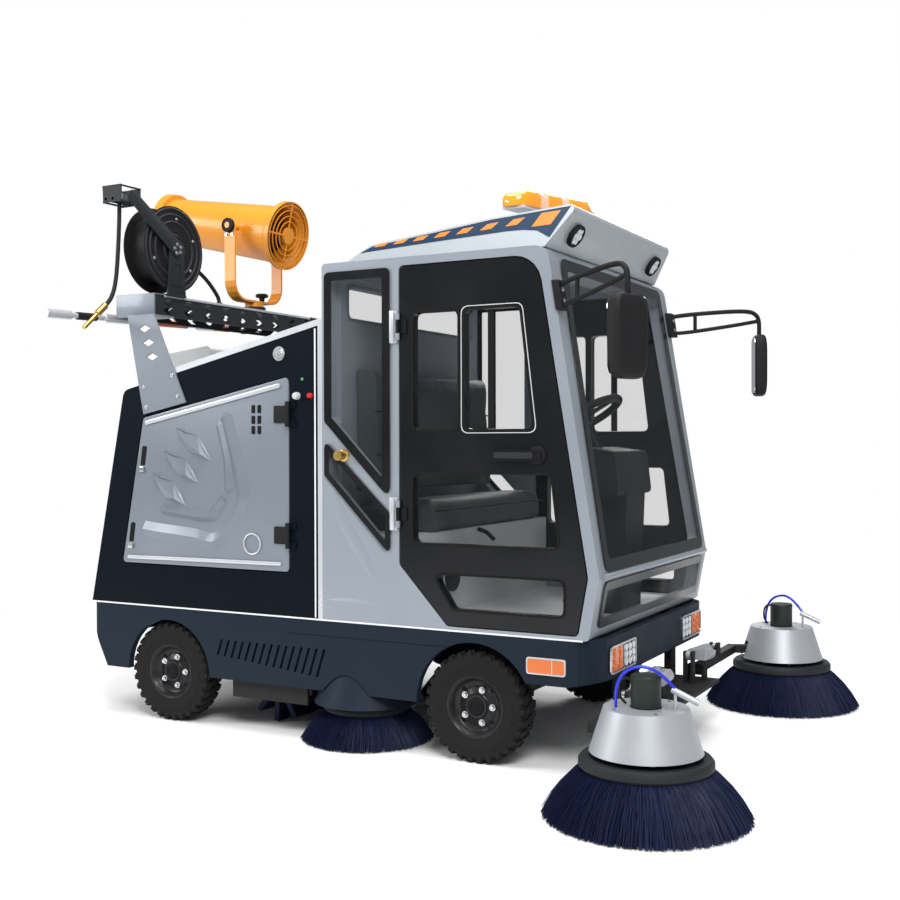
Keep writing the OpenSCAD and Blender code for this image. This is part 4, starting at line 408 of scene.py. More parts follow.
def headTree():
    # hexagon heads with washers on points that carry a facing direction
    tree, given, out = newTree("boltHeads", Radius="Float", Height="Float", Corners="Int", Material="Material")
    head = addNode(tree, "GeometryNodeMeshCylinder", Vertices=given["Corners"], Radius=given["Radius"],
                   Depth=given["Height"])
    lifted = addNode(tree, "GeometryNodeTransform", Geometry=head.outputs[0],
                     Translation=addNode(tree, "ShaderNodeCombineXYZ", i0=0.0, i1=0.0,
                     i2=math2(tree, "MULTIPLY", given["Height"], 0.5)).outputs[0])
    washer = addNode(tree, "GeometryNodeMeshCylinder", Vertices=20,
                     Radius=math2(tree, "MULTIPLY", given["Radius"], 1.45),
                     Depth=math2(tree, "MULTIPLY", given["Height"], 0.4))
    both = addNode(tree, "GeometryNodeJoinGeometry")
    tree.links.new(lifted.outputs[0], both.inputs[0])
    tree.links.new(washer.outputs[0], both.inputs[0])
    toward = addNode(tree, "GeometryNodeInputNamedAttribute", {"data_type": "FLOAT_VECTOR"}, Name="facing")
    turned = addNode(tree, "FunctionNodeAlignRotationToVector", {"axis": "Z"}, Vector=toward.outputs[0])
    placed = addNode(tree, "GeometryNodeInstanceOnPoints", Points=given["Geometry"], Instance=both.outputs[0],
                     Rotation=turned.outputs[0])
    endTree(tree, given, out, placed.outputs[0])
    return tree


trees = {"bristle": bristleTree(), "heads": headTree()}


def bolts(name, body, spots, radius=0.008, height=0.006, finish="steelBright", corners=6):
    # spots are (place, facing) pairs
    base = bpy.data.meshes.new(name + "Points")
    base.from_pydata([tuple(p) for p, f in spots], [], [])
    layer = base.attributes.new("facing", "FLOAT_VECTOR", "POINT")
    for item, (p, f) in zip(layer.data, spots):
        item.vector = Vector(f).normalized()
    mesh = grow(name, trees["heads"], {"Radius": radius, "Height": height, "Corners": corners}, finish, base)
    settle(name, mesh, None, body, smooth=30)


# brushes: a ring plate, a hub and strands down to the road
frontBrush = {"at": (2191, 916), "hubTop": 0.2215, "plateRadius": 0.211, "plateTop": 0.19, "plateThick": 0.04,
              "tipRadius": 0.338, "strands": 5200, "strandThick": 0.0016}
midBrush = {"at": (889, 480), "hubTop": 0.279, "plateRadius": 0.17, "plateTop": 0.14, "plateThick": 0.03,
            "tipRadius": 0.27, "strands": 3600, "strandThick": 0.0015}


def makeBrush(name, body, sign, size):
    hubTop = size["hubTop"]
    place = Matrix.Translation(spot(size["at"][0], sign * size["at"][1], 0))
    r, top, thick = size["plateRadius"], size["plateTop"], size["plateThick"]
    bm = bmesh.new()
    addTurned(bm, [(0, top - thick), (r - 0.012, top - thick), (r, top - thick + 0.012), (r, top - 0.01),
                   (r - 0.008, top),
                   (r * 0.72, top), (r * 0.68, top - 0.006), (0.062, top - 0.006), (0.055, top + 0.012),
                   (0.03, top + 0.016), (0.03, hubTop), (0, hubTop)], place, 64)
    settle(name + "Plate", bm, "plateDark", body, replaced=(body,))
    height = top - thick * 0.6
    reach = size["tipRadius"] * 0.985 - r * 0.9
    bm = bmesh.new()
    for key, share, low, high, length, seed in (("Outer", 0.62, 0.8, 0.9, 1, 3), ("Inner", 0.38, 0.5, 0.66, 0.62, 8)):
        values = {"Count": int(size["strands"] * share), "Inner": r * low, "Outer": r * high, "Height": height,
                  "Reach": reach * length, "Thickness": size["strandThick"], "Seed": seed}
        bm.from_mesh(grow(name + key, trees["bristle"], values, "bristleNavy"))
    bmesh.ops.transform(bm, matrix=place, verts=bm.verts)
    settle(name + "Bristles", bm, "bristleNavy", body, smooth=60, tidied=False)
    bolts(name + "Bolts", body, [(place @ Vector((0.1 * math.cos(a), 0.1 * math.sin(a), top - 0.006)), (0, 0, 1))
            for a in [k * math.pi / 3 for k in range(6)]])


for side, sign in (("right", -1), ("left", 1)):
    tail = side.capitalize()
    makeBrush("frontBrush" + tail, "front_brush_" + side, sign, frontBrush)
    makeBrush("midBrush" + tail, "mid_brush_" + side, sign, midBrush)
print("brushes made")

# wheels: a tyre with tread blocks, a dished rim, nuts and a cap
wheelSize = {"tyreRadius": 0.205, "tyreHalf": 0.0525, "rimRadius": 0.106, "groove": 0.008, "blocks": 30,
             "nutCircle": 0.062, "nuts": 5,
             "aside": 578, "height": 205, "front": 1440, "rear": 0}


def treadTree():
    tree, given, out = newTree("treadRow", Count="Int", Radius="Float", Offset="Float", Turn="Float", Skew="Float",
            Size="Vector", Material="Material")
    index = addNode(tree, "GeometryNodeInputIndex").outputs[0]
    step = math2(tree, "DIVIDE", 2 * math.pi, given["Count"])
    angle = math2(tree, "ADD", math2(tree, "MULTIPLY", index, step), given["Turn"])
    seat = addNode(tree, "ShaderNodeCombineXYZ",
                   i0=math2(tree, "MULTIPLY", math2(tree, "COSINE", angle), given["Radius"]),
                   i1=math2(tree, "MULTIPLY", math2(tree, "SINE", angle), given["Radius"]), i2=given["Offset"])
    points = addNode(tree, "GeometryNodePoints", Count=given["Count"], Position=seat.outputs[0])
    block = addNode(tree, "GeometryNodeMeshCube", Size=given["Size"])
    turned = addNode(tree, "ShaderNodeCombineXYZ", i0=given["Skew"], i1=0.0, i2=angle)
    placed = addNode(tree, "GeometryNodeInstanceOnPoints", Points=points.outputs[0], Instance=block.outputs[0],
                     Rotation=turned.outputs[0])
    endTree(tree, given, out, placed.outputs[0])
    return tree


trees["tread"] = treadTree()


def makeWheel(side, sign, axle):
    name = "wheel" + axle.capitalize() + side.capitalize()
    body = "wheel_%s_%s" % (axle, side)
    place = facing(spot(wheelSize[axle], sign * wheelSize["aside"], wheelSize["height"]), (0, sign, 0))
    outer, half, rim = wheelSize["tyreRadius"], wheelSize["tyreHalf"], wheelSize["rimRadius"]
    base = outer - wheelSize["groove"]
    bm = bmesh.new()
    sideWall = [(rim, 0.044), (rim + 0.012, 0.0475), (rim + 0.02, 0.0462), (rim + 0.042, half - 0.001),
                (rim + 0.05, half), (rim + 0.054, half - 0.002),
                (rim + 0.07, half - 0.0008), (rim + 0.078, half - 0.003), (base - 0.008, 0.047), (base, 0.037),
                (base, 0.012)]
    addTurned(bm, [(r, -h) for r, h in sideWall] + [(r, h) for r, h in sideWall[::-1]], place, 72, closed=True)
    settle(name + "Tyre", bm, "tyreRubber", body, replaced=(body,))
    rows = []
    shoulder, centre, edge = (0.011, 0.026, 0.032), (0.011, 0.03, 0.012), (0.022, 0.02, 0.009)
    for sunk, offset, turn, skew, size in ((0.0063, 0.027, 0.0, 0.35, shoulder),
            (0.0063, -0.027, 0.1, -0.35, shoulder),
                                           (0.0063, 0.0, 0.05, 0.0, centre), (0.0165, 0.0465, 0.0, 0.0, edge),
                                           (0.0165, -0.0465, 0.1, 0.0, edge)):
        values = {"Count": wheelSize["blocks"], "Radius": outer - sunk, "Offset": offset, "Turn": turn, "Skew": skew,
                  "Size": size}
        rows.append(grow(name + "Row", trees["tread"], values, "tyreRubber"))
    bm = bmesh.new()
    for row in rows:
        bm.from_mesh(row)
    bmesh.ops.transform(bm, matrix=place, verts=bm.verts)
    settle(name + "Tread", bm, "tyreRubber", body, smooth=0, tidied=False)
    bm = bmesh.new()
    addTurned(bm, [(rim + 0.001, -0.043), (rim + 0.007, -0.046), (rim + 0.007, -0.041), (rim, -0.036), (rim, 0.036),
                   (rim + 0.007, 0.041), (rim + 0.009, 0.046),
                   (rim + 0.003, 0.047), (rim - 0.004, 0.042), (rim - 0.01, 0.026), (rim - 0.018, 0.018),
                   (0.074, 0.016), (0.068, 0.021), (0.05, 0.0235),
                   (0.044, 0.029), (0.042, 0.035), (0.0255, 0.035), (0.0255, -0.013), (0.042, -0.013), (0.044, 0.012),
                   (rim - 0.012, 0.012),
                   (rim - 0.006, -0.03)], place, 64, closed=True)
    settle(name + "Rim", bm, "rimBlack", body)
    bm = bmesh.new()
    addTurned(bm, [(0.034, 0.0345), (0.034, 0.037), (0.03, 0.041), (0.018, 0.043), (0.016, 0.0405), (0, 0.0405)],
              place, 40)
    for k in range(4):  # openings in the dish
        a = (k + 0.5) * math.pi / 2
        hole = place @ Matrix.Rotation(a, 4, "Z") @ Matrix.Translation((0.082, 0, 0.0178))
        addTurned(bm, [(0.0085, -0.002), (0.0085, 0.0006), (0.0, 0.0006)], hole, 16)
    settle(name + "Cap", bm, "sealBlack", body)
    ring = [2 * math.pi * k / wheelSize["nuts"] for k in range(wheelSize["nuts"])]
    axis = place.to_3x3() @ Vector((0, 0, 1))
    bolts(name + "Nuts", body, [(place @ Vector((wheelSize["nutCircle"] * math.cos(a),
            wheelSize["nutCircle"] * math.sin(a), 0.0225)), axis) for a in ring],
          0.0085, 0.012)


for side, sign in (("right", -1), ("left", 1)):
    makeWheel(side, sign, "front")
    makeWheel(side, sign, "rear")
print("wheels made")

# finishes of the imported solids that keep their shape
dress("frameBlack", "chassis_frame", "axles", "knuckle_right", "knuckle_left", "broom_hood", "brush_arm_right",
      "brush_arm_left")
dress("skirtSlate", "skirt", "mid_brush_covers")
dress("hopperNavy", "hopper_body", "rear_door")
dress("cabSilver", "cab_frame")
# roof in the lighter silver, painted light
dress("roofSilverPaintedLight", "roof")
# struts in the darker silver, painted shade
dress("doorSilverPaintedShade", "rack_struts")
dress("trimSilver", "body_trim")
dress("plasticGrey", "filter_cover")
dress("cabWhite", "cab_floor")
dress("windowGlass", "cab_glass", "cab_door_glass_right", "cab_door_glass_left")
dress("doorBlack", "cab_door_right", "cab_door_left")
dress("rackCharcoal", "rack_beam", "cannon_fan")
dress("cannonOrange", "cannon_yoke", "cannon_barrel")
dress("plasticBlack", "steering_console", "steering_wheel", "reel_drum")
dress("trimSilver", "lance")
dress("steelBright", "actuator_rod_right", "actuator_rod_left")
dress("coverAlloy", "brush_cover_right", "brush_cover_left", "actuator_right", "actuator_left")
dress("brassWarm", "hose_end")
dress("batteryGrey", "battery_pack")
dress("bristleNavy", "main_broom")
print("solids finished")


# outlines on faces of the body, all in millimetres
halfWidth = 638  # outer face of body and doors


def sideFace(sign, y, lean=0.0, foot=0.0):
    return lambda u, v, h: spot(u, sign * (y - lean * (v - foot) + h), v)


def faceX(z):
    return 1929 - (z - 698) * 0.1661 if z > 698 else 1889 + (z - 480) * 0.1835


def frontFace(u, v, h):
    return spot(faceX(v) + h, u, v)


def shrunk(points, gap):
    # parallel outline a gap inside
    turn = 1 if sum(a[0] * b[1] - b[0] * a[1] for a, b in zip(points, points[1:] + points[:1])) > 0 else -1
    out = []
    for i, q in enumerate(points):
        before = (Vector(q) - Vector(points[i - 1])).normalized()
        after = (Vector(points[(i + 1) % len(points)]) - Vector(q)).normalized()
        n1, n2 = Vector((-before.y, before.x)) * turn, Vector((-after.y, after.x)) * turn
        out.append(tuple(Vector(q) + (n1 + n2) * (gap / (1 + n1.dot(n2)))))
    return out


def skin(bm, rings):
    # quads between rings of as many points
    for a, b in zip(rings, rings[1:]):
        for k in range(len(a)):
            n = (k + 1) % len(a)
            bm.faces.new([a[k], a[n], b[n], b[k]])


def addRing(bm, outer, inner, low, high, place):
    loops = []
    for line, h in ((outer, low), (outer, high), (inner, high), (inner, low)):
        loops.append([bm.verts.new(place(u, v, h)) for u, v in line])
    skin(bm, loops + loops[:1])


def addBorder(bm, points, width, low, high, place, radius=20):
    addRing(bm, roundedOutline(points, radius), roundedOutline(shrunk(points, width), max(radius - width / 2, 3)),
            low, high, place)


def addTube(bm, points, radius, sides=12):
    # round bar through points already in metres, closed at both ends
    rings = []
    normal = None
    for i, p in enumerate(points):
        ahead = (points[min(i + 1, len(points) - 1)] - points[max(i - 1, 0)]).normalized()
        if normal is None:
            normal = ahead.orthogonal().normalized()
        normal = (normal - ahead * normal.dot(ahead)).normalized()
        other = ahead.cross(normal)
        turns = [2 * math.pi * k / sides for k in range(sides)]
        rings.append([bm.verts.new(p + (normal * math.cos(a) + other * math.sin(a)) * radius) for a in turns])
    skin(bm, rings)
    bm.faces.new(rings[0][::-1])
    bm.faces.new(rings[-1])


def addPillow(bm, matrix, size, square=0.4, steps=28):
    # rounded block: a sphere pressed towards its box
    def press(value):
        return math.copysign(abs(value) ** square, value)
    rows = []
    for i in range(steps // 2 + 1):
        lat = math.pi * (i / (steps // 2) - 0.5)
        ring = []
        for k in range(steps):
            lon = 2 * math.pi * (k + 0.5) / steps
            wide = press(math.cos(lat))
            corner = (wide * press(math.cos(lon)), wide * press(math.sin(lon)), press(math.sin(lat)))
            ring.append(bm.verts.new(matrix @ Vector(s / 2 * c for s, c in zip(size, corner))))
        rows.append(ring)
    skin(bm, rows)


def box2(x0, z0, x1, z1):
    return [(x0, z0), (x1, z0), (x1, z1), (x0, z1)]


# roof: blue band with orange marks on both flanks; the band's front end runs down under the visor as painted shade
# for the gap there
roofMarks = {"band": [(926, 1899), (972, 1921), (1343, 1968), (1470, 1985), (1782, 2008), (1722, 1893), (1668, 1924),
                      (1609, 1932), (1539, 1932), (1200, 1915)],
             "first": 985, "pitch": 82, "growth": 1.045, "rise": 0.095, "lean": 80 / 168}


def makeRoofMarks(side, sign):
    place = sideFace(sign, 600, roofMarks["lean"], 1860)
    # printed blue stripe; its front end under the visor is painted shade for the gap there
    settle("roofBandAndVisorGapShade" + side.capitalize(), single(addPrism, roofMarks["band"], -0.5, 1.2, place), "stripeBlueAndGapShade",
           "chassis", smooth=0)
    bm = bmesh.new()
    x, pitch = roofMarks["first"], roofMarks["pitch"]
    for k in range(8):
        low = 1917 + (x - 985) * 0.062 if k < 7 else 1940
        high = 1929 + (x - 985) * 0.087 if k < 7 else 1991
        wide = 46 if k < 7 else 74
        tip = 16 + k * 2
        addPrism(bm, [(x, low), (x + wide, low + 3), (x + wide + tip, high + 4), (x + tip, high)], 0.5, 1.8, place)
        x += pitch * roofMarks["growth"] ** k
    settle("roofMarks" + side.capitalize(), bm, "stripeOrange", "chassis", smooth=0)


# lamps: bezels, cells and lenses
lampPlan = {"bumper": 1930, "rear": -431, "cellRows": (374, 400, 426), "turnColumns": (445, 502),
            "beamColumns": (305, 345, 385),
            "head": (280, 350, 540, 450), "flank": (1655, 350, 1805, 410), "tail": (420, 395, 540, 460),
            "work": (1751, 430, 1923), "workWay": (0.83, 0, -0.557), "workRing": 0.0225}


def makeCells(name, spots, radius, depth, finish, body):
    # small dished reflectors, each facing its own way
    bm = bmesh.new()
    for place, way in spots:
        addTurned(bm, [(radius, 0), (radius, depth), (radius * 0.85, depth), (radius * 0.45, depth * 0.35),
                       (0, depth * 0.2)], facing(place, way), 20)
    settle(name, bm, finish, body)


def makeLamps(side, sign):
    tail = side.capitalize()
    def front(u, v, h):
        return spot(lampPlan["bumper"] + h, sign * u, v)
    settle("headlampCase" + tail, single(addPrism, roundedOutline(box2(282, 352, 538, 448), 16), -24, 1, front),
           "sealBlack", "chassis", replaced=("lamps",) if sign < 0 else ())
    bm = bmesh.new()
    addBorder(bm, box2(*lampPlan["head"]), 7, 0, 6, front, 18)
    addPrism(bm, box2(408, 356, 413, 444), 0, 5, front)
    settle("headlampBezel" + tail, bm, "steelBright", "chassis")
    settle("headlampTurn" + tail, single(addPrism, roundedOutline(box2(416, 358, 531, 442), 10), 0, 3, front),
           "amberLens", "chassis")
    makeCells("turnCells" + tail, [(front(y, z, 2), (1, 0, 0)) for y in lampPlan["turnColumns"]
            for z in lampPlan["cellRows"]], 0.0125, 0.004, "amberLens", "chassis")
    makeCells("beamCells" + tail, [(front(y, z, 0.5), (1, 0, 0)) for y in lampPlan["beamColumns"]
            for z in lampPlan["cellRows"]], 0.014, 0.005, "whiteLens", "chassis")
    flank = sideFace(sign, halfWidth)
    settle("flankLens" + tail, single(addPrism, roundedOutline(box2(1659, 354, 1801, 406), 8), 0, 5, flank),
           "amberLens", "chassis")
    bm = bmesh.new()
    addBorder(bm, box2(*lampPlan["flank"]), 5, 0, 6, flank, 11)
    addPrism(bm, box2(1752, 356, 1755, 404), 4, 5.6, flank)
    settle("flankBezel" + tail, bm, "plasticGrey", "chassis")
    def rear(u, v, h):
        return spot(lampPlan["rear"] - h, sign * u, v)
    settle("tailRed" + tail, single(addPrism, roundedOutline(box2(480, 399, 536, 456), 8), 0, 9, rear), "redLens",
           "chassis", bevel=0.002)
    settle("tailAmber" + tail, single(addPrism, roundedOutline(box2(424, 399, 476, 456), 8), 0, 9, rear), "amberLens",
           "chassis", bevel=0.002)
    settle("tailBezel" + tail, single(addBorder, box2(*lampPlan["tail"]), 5, 0, 10, rear, 11), "plasticBlack",
           "chassis")
    # round work lamp on the visor
    way = Vector(lampPlan["workWay"]).normalized()
    x, y, z = lampPlan["work"]
    centre = spot(x, sign * y, z) + way * 0.0006
    settle("workLampCase" + tail, single(addTurned,
            [(0, 0), (0.041, 0), (0.044, 0.006), (0.044, 0.018), (0.041, 0.021), (0.037, 0.021), (0.036, 0.012),
             (0, 0.012)], facing(centre, way), 48), "plasticBlack", "chassis")
    turn = facing(centre, way)
    ring = [Vector((0, 0, 0.012))] + [Vector((lampPlan["workRing"] * math.cos(a), lampPlan["workRing"] * math.sin(a),
            0.012)) for a in [k * math.pi / 3 for k in range(6)]]
    makeCells("workLampCells" + tail, [(turn @ p, way) for p in ring], 0.0112, 0.006, "whiteLens", "chassis")


for side, sign in (("right", -1), ("left", 1)):
    makeRoofMarks(side, sign)
    makeLamps(side, sign)

# light bar: two swept wings lofted in amber and clear lengths, on a grey tray
lightBar = {"apex": 1640, "sweep": 96, "half": 420, "width": 108, "low": 2057, "high": 2134,
            "shares": (0.0, 0.3, 0.42, 0.62, 0.74, 1.0)}


def addWing(bm, start, end, sign, inset):
    rings = []
    for k in range(9):
        share = start + (end - start) * k / 8
        roundness = math.sqrt(max(1 - max((share - 0.86) / 0.14, 0) ** 2, 0.02)) if end == 1.0 else 1.0
        x = lightBar["apex"] - lightBar["width"] / 2 - lightBar["sweep"] * share
        half = (lightBar["width"] / 2 - inset) * (0.3 + 0.7 * roundness)
        top = lightBar["low"] + (lightBar["high"] - lightBar["low"] - inset - 18 * share) * (0.45 + 0.55 * roundness)
        line = roundedOutline(box2(-half, lightBar["low"], half, top), [6, 6, 26, 26], 4)
        rings.append([bm.verts.new(spot(x + u, sign * lightBar["half"] * share, v)) for u, v in line])
    skin(bm, rings)
    bm.faces.new(rings[0])
    bm.faces.new(rings[-1][::-1])


for sign, tail in ((-1, "Right"), (1, "Left")):
    for k, (a, b) in enumerate(zip(lightBar["shares"], lightBar["shares"][1:])):
        clear = k in (1, 3)
        bm = bmesh.new()
        addWing(bm, a, b, sign, 2.5 if clear else 0)
        settle("lightBar%s%d" % (tail, k), bm, "clearLens" if clear else "amberGlow", "chassis",
               replaced=("beacon",) if sign < 0 and k == 0 else ())
    bm = bmesh.new()
    near, far = 1634 - lightBar["width"] + 14, 1634 - lightBar["sweep"] - lightBar["width"] + 20
    addPrism(bm, [(1634, 0), (1634 - lightBar["sweep"], sign * (lightBar["half"] - 14)),
                  (far, sign * (lightBar["half"] - 14)), (near, 0)], 2047, 2058, spot)
    addBox(bm, spot(1525, sign * 150 - 30, 1994), spot(1600, sign * 150 + 30, 2050))
    settle("lightBarTray" + tail, bm, "plasticGrey", "chassis", bevel=0.002)
print("roof and lamps made")

# mirrors on bent tubes
mirrorTubes = {"upper": [(1772, 620, 1716), (1850, 672, 1729), (1990, 768, 1743), (2066, 820, 1744),
                         (2096, 842, 1730), (2108, 850, 1700), (2109, 850, 1630)],
               "lower": [(1772, 620, 1644), (1850, 671, 1652), (1990, 767, 1678), (2070, 823, 1695),
                         (2108, 850, 1704)],
               "strut": [(1868, 683, 1731), (1868, 683, 1655)], "head": (2109, 850, 1505),
               "size": (0.062, 0.163, 0.273), "turn": -20}
for side, sign in (("right", -1), ("left", 1)):
    tail = side.capitalize()
    bm = bmesh.new()
    for key, radius in (("upper", 0.0095), ("lower", 0.0085), ("strut", 0.008)):
        line = [spot(x, sign * y, z) for x, y, z in mirrorTubes[key]]
        addTube(bm, smoothRoute(line, 5) if len(line) > 2 else line, radius)
    settle("mirrorTubes" + tail, bm, "plasticBlack", "chassis", replaced=("mirrors",) if sign < 0
           else ())
    settle("mirrorBase" + tail, single(addPrism,
            roundedOutline(box2(sign * 622 - 28, 1627, sign * 622 + 28, 1733), 6), -2, 26, frontFace), "plasticBlack",
            "chassis", bevel=0.003)
    bolts("mirrorBolts" + tail, "chassis", [(frontFace(sign * 622, z, 26), (1, 0, 0.166)) for z in (1660, 1700)],
          0.006, 0.004)
    turn = Matrix.Translation(spot(mirrorTubes["head"][0], sign * mirrorTubes["head"][1],
            mirrorTubes["head"][2])) @ Matrix.Rotation(
        math.radians(-sign * mirrorTubes["turn"]), 4, "Z")
    bm = bmesh.new()
    addPillow(bm, turn, mirrorTubes["size"], 0.42, 36)
    for v in bm.verts:  # flat towards the driver, narrower at the foot
        p = turn.inverted() @ v.co
        p.x = max(p.x, -0.024)
        p.y *= 1 + 0.35 * min(p.z, 0.05) - 0.03
        v.co = turn @ p
    settle("mirrorHead" + tail, bm, "plasticBlack", "chassis")
    def glassFace(u, v, h):
        return turn @ Vector((-0.0245 - h / 1000, u / 1000, v / 1000))
    settle("mirrorGlass" + tail, single(addPrism, roundedOutline(box2(-70, -122, 70, 122), 26), 0, 1.5, glassFace),
           "mirrorFace", "chassis")
print("mirrors made")

# side doors: a sheet with pressed diamonds, sweeps, ribs, slots and latches
doorPress = {"sheet": [(-252, 657), (624, 657), (625, 1428), (-133, 1274)],
             "diamonds": [[(45, 1231), (162, 1197), (236, 1091), (121, 1127)],
                          [(-21, 1134), (92, 1102), (168, 999), (51, 1036)],
                          [(-85, 1040), (31, 1005), (98, 905), (-19, 939)]],
             "outer": [(-138, 806), (-36, 795), (146, 780), (250, 765), (320, 818), (392, 930), (384, 1030),
                       (345, 1160), (307, 1291)],
             "inner": [(-40, 891), (97, 874), (227, 863), (259, 894), (298, 941)],
             "flank": [(278, 1264), (322, 1090), (326, 963)],
             "hand": [(-150, 1073), (-216, 747)], "boss": (446, 761),
             "ventColumns": (442, 472), "ventRows": (1202, 1243, 1286), "hinges": (800, 1280),
             "hingeAt": (626.7, 650)}


def addRidge(bm, line, width, height, place):
    # raised bar with sloping sides and pointed ends
    left, right, top = [], [], []
    for i, p in enumerate(line):
        ahead = (Vector(line[min(i + 1, len(line) - 1)]) - Vector(line[max(i - 1, 0)])).normalized()
        aside = Vector((-ahead.y, ahead.x)) * width * (0.12 if i in (0, len(line) - 1) else 1)
        left.append(bm.verts.new(place(*(Vector(p) + aside), 0)))
        right.append(bm.verts.new(place(*(Vector(p) - aside), 0)))
        top.append(bm.verts.new(place(*p, height * (0.15 if i in (0, len(line) - 1) else 1))))
    for i in range(len(line) - 1):
        bm.faces.new([left[i], left[i + 1], top[i + 1], top[i]])
        bm.faces.new([top[i], top[i + 1], right[i + 1], right[i]])
        bm.faces.new([right[i], right[i + 1], left[i + 1], left[i]])
    bm.faces.new([left[0], top[0], right[0]])
    bm.faces.new([right[-1], top[-1], left[-1]])


def makeSideDoor(side, sign):
    tail, body = side.capitalize(), "side_door_" + side
    place = sideFace(sign, halfWidth)
    # door sheet in the darker silver, painted shade
    settle("doorSheet" + tail, single(addPrism, roundedOutline(doorPress["sheet"], 18), -29.5, 0, place),
           "doorSilverPaintedShade", body, replaced=("side_door_" + side,), bevel=0.002)
    bm = bmesh.new()
    for corners in doorPress["diamonds"]:
        middle = (Vector(corners[0]) * 0.5 + Vector(corners[2]) * 0.5)
        base = [bm.verts.new(place(u, v, -0.5)) for u, v in corners]
        ridge = [bm.verts.new(place(*(middle.lerp(Vector(corners[k]), 0.55)), 24)) for k in (0, 2)]
        (b0, b1, b2, b3), (r0, r1) = base, ridge
        for face in ((b0, b1, r0), (b1, r1, r0), (b1, b2, r1), (b2, b3, r1), (b3, r0, r1), (b3, b0, r0), base[::-1]):
            bm.faces.new(face)
        for a, b in ((0, 1), (1, 2)):
            halfway = tuple(Vector(corners[a]).lerp(Vector(corners[b]), 0.5))
            addRidge(bm, [corners[a], halfway, corners[b]], 7, 9, place)
    settle("doorDiamonds" + tail, bm, "doorSilverPaintedShade", body, smooth=0)
    bm = bmesh.new()
    for key, width, height in (("outer", 34, 17), ("inner", 22, 22), ("flank", 24, 18)):
        addRidge(bm, [tuple(p) for p in smoothRoute([Vector(p) for p in doorPress[key]], 5)], width, height, place)
    settle("doorSweep" + tail, bm, "doorSilverPaintedShade", body, smooth=25)
    bm = bmesh.new()
    addPrism(bm, roundedOutline([(-118, 1243), (588, 1386), (586, 1404), (-120, 1261)], 8), -0.5, 7, place)
    addPrism(bm, roundedOutline([(-222, 674), (590, 680), (590, 695), (-219, 689)], 7), -0.5, 7, place)
    circle = [(math.cos(2 * math.pi * k / 40), math.sin(2 * math.pi * k / 40)) for k in range(40)]
    u, v = doorPress["boss"]
    addRing(bm, [(u + 44 * c, v + 44 * s) for c, s in circle], [(u + 38 * c, v + 38 * s) for c, s in circle], -0.5,
            7.5, place)
    settle("doorRibs" + tail, bm, "trimSilver", body, bevel=0.003)
    bm = bmesh.new()
    for x, z in doorPress["hand"]:
        addPrism(bm, roundedOutline([(x, z), (x + 26, z), (x + 38, z + 82), (x + 12, z + 82)], 8), -0.5, 0.8, place)
    for column in doorPress["ventColumns"]:
        for row in doorPress["ventRows"]:
            addPrism(bm, roundedOutline(box2(column, row, column + 19, row + 33), 5), -0.5, 0.8, place)
    settle("doorSlots" + tail, bm, "sealBlack", body, smooth=0)
    bm = bmesh.new()
    for x, z in doorPress["hand"]:
        addPrism(bm, roundedOutline(box2(x - 2, z - 28, x + 26, z - 6), 5), -0.5, 9, place)
    settle("doorLatches" + tail, bm, "steelBright", body, bevel=0.002)
    bm = bmesh.new()
    x, y = doorPress["hingeAt"]
    for z in doorPress["hinges"]:
        addPrism(bm, roundedOutline(box2(556, z - 34, 616, z + 34), 5), -0.5, 6.5, place)
        addTurned(bm, [(0, -0.05), (0.0095, -0.05), (0.0095, 0.05), (0, 0.05)],
                  Matrix.Translation(spot(x, sign * y, z)), 20)
        addPrism(bm, box2(600, z - 18, 627, z + 18), -0.5, 8, place)
    settle("doorHingePads" + tail, bm, "plasticBlack", body, bevel=0.001)
    # hopper controls, trim lines and strut bolts beside the door
    bolts("hopperBolt" + tail, "chassis", [(place(580, 1520, 0), (0, sign, 0))], 0.02, 0.012)
    settle("stopButton" + tail, single(addTurned, [(0.011, 0), (0.011, 0.012), (0.008, 0.016), (0, 0.016)],
            facing(place(731, 1351, 0), (0, sign, 0)), 24), "buttonRed", "chassis")
    settle("pilotLight" + tail, single(addTurned, [(0.006, 0), (0.006, 0.006), (0.003, 0.009), (0, 0.009)],
            facing(place(693, 1416, 0), (0, sign, 0)), 20), "buttonGreen", "chassis")
    settle("doorKnob" + tail, single(addTurned,
            [(0.015, 0), (0.015, 0.01), (0.012, 0.02), (0.006, 0.022), (0, 0.022)],
            facing(place(668, 1351, 0), (0, sign, 0)), 24), "plasticGrey", "chassis")
    bm = bmesh.new()
    addPrism(bm, box2(749, 486, 755, 1612), -0.5, 2, place)
    addPrism(bm, box2(-424, 476, 1868, 482), -0.5, 2.5, place)
    settle("bodyLines" + tail, bm, "lineWhite", "chassis", smooth=0)
    outer = sideFace(sign, 646)
    bolts("strutBolts" + tail, "chassis",
          [(outer(x, z, 0), (0, sign, 0)) for x, z in ((-108, 1320), (-122, 1404), (64, 1362), (34, 1450))], 0.0065,
          0.005, corners=16)


for side, sign in (("right", -1), ("left", 1)):
    makeSideDoor(side, sign)
print("side doors made")

# cab: printed borders on the glass, seals, hinges, handles and the pressed quarter panel
cabPanes = {"screen": [(-582, 714), (582, 714), (547, 1824), (-547, 1824)],
            "toe": [(-582, 517), (582, 517), (582, 679), (-582, 679)],
            "quarter": [(798, 1250), (1095, 952), (1095, 1824), (798, 1824)],
            "slot": [(798, 1042), (1095, 744), (1095, 901), (798, 1177)],
            "doorWindows": [[(1192, 1214), (1382, 1214), (1382, 1649), (1192, 1649)],
                            [(1409, 1214), (1681, 1214), (1629, 1649), (1409, 1649)],
                            [(1192, 795), (1778, 795), (1748, 1052), (1192, 1052)],
                            [(1360, 558), (1797, 558), (1797, 682), (1278, 682)]]}
bm = bmesh.new()
addBorder(bm, cabPanes["screen"], 44, 5.6, 6.6, frontFace, 40)
addBorder(bm, cabPanes["toe"], 30, 5.6, 6.6, frontFace, 24)
settle("screenBorders", bm, "doorBlack", "chassis", smooth=0)
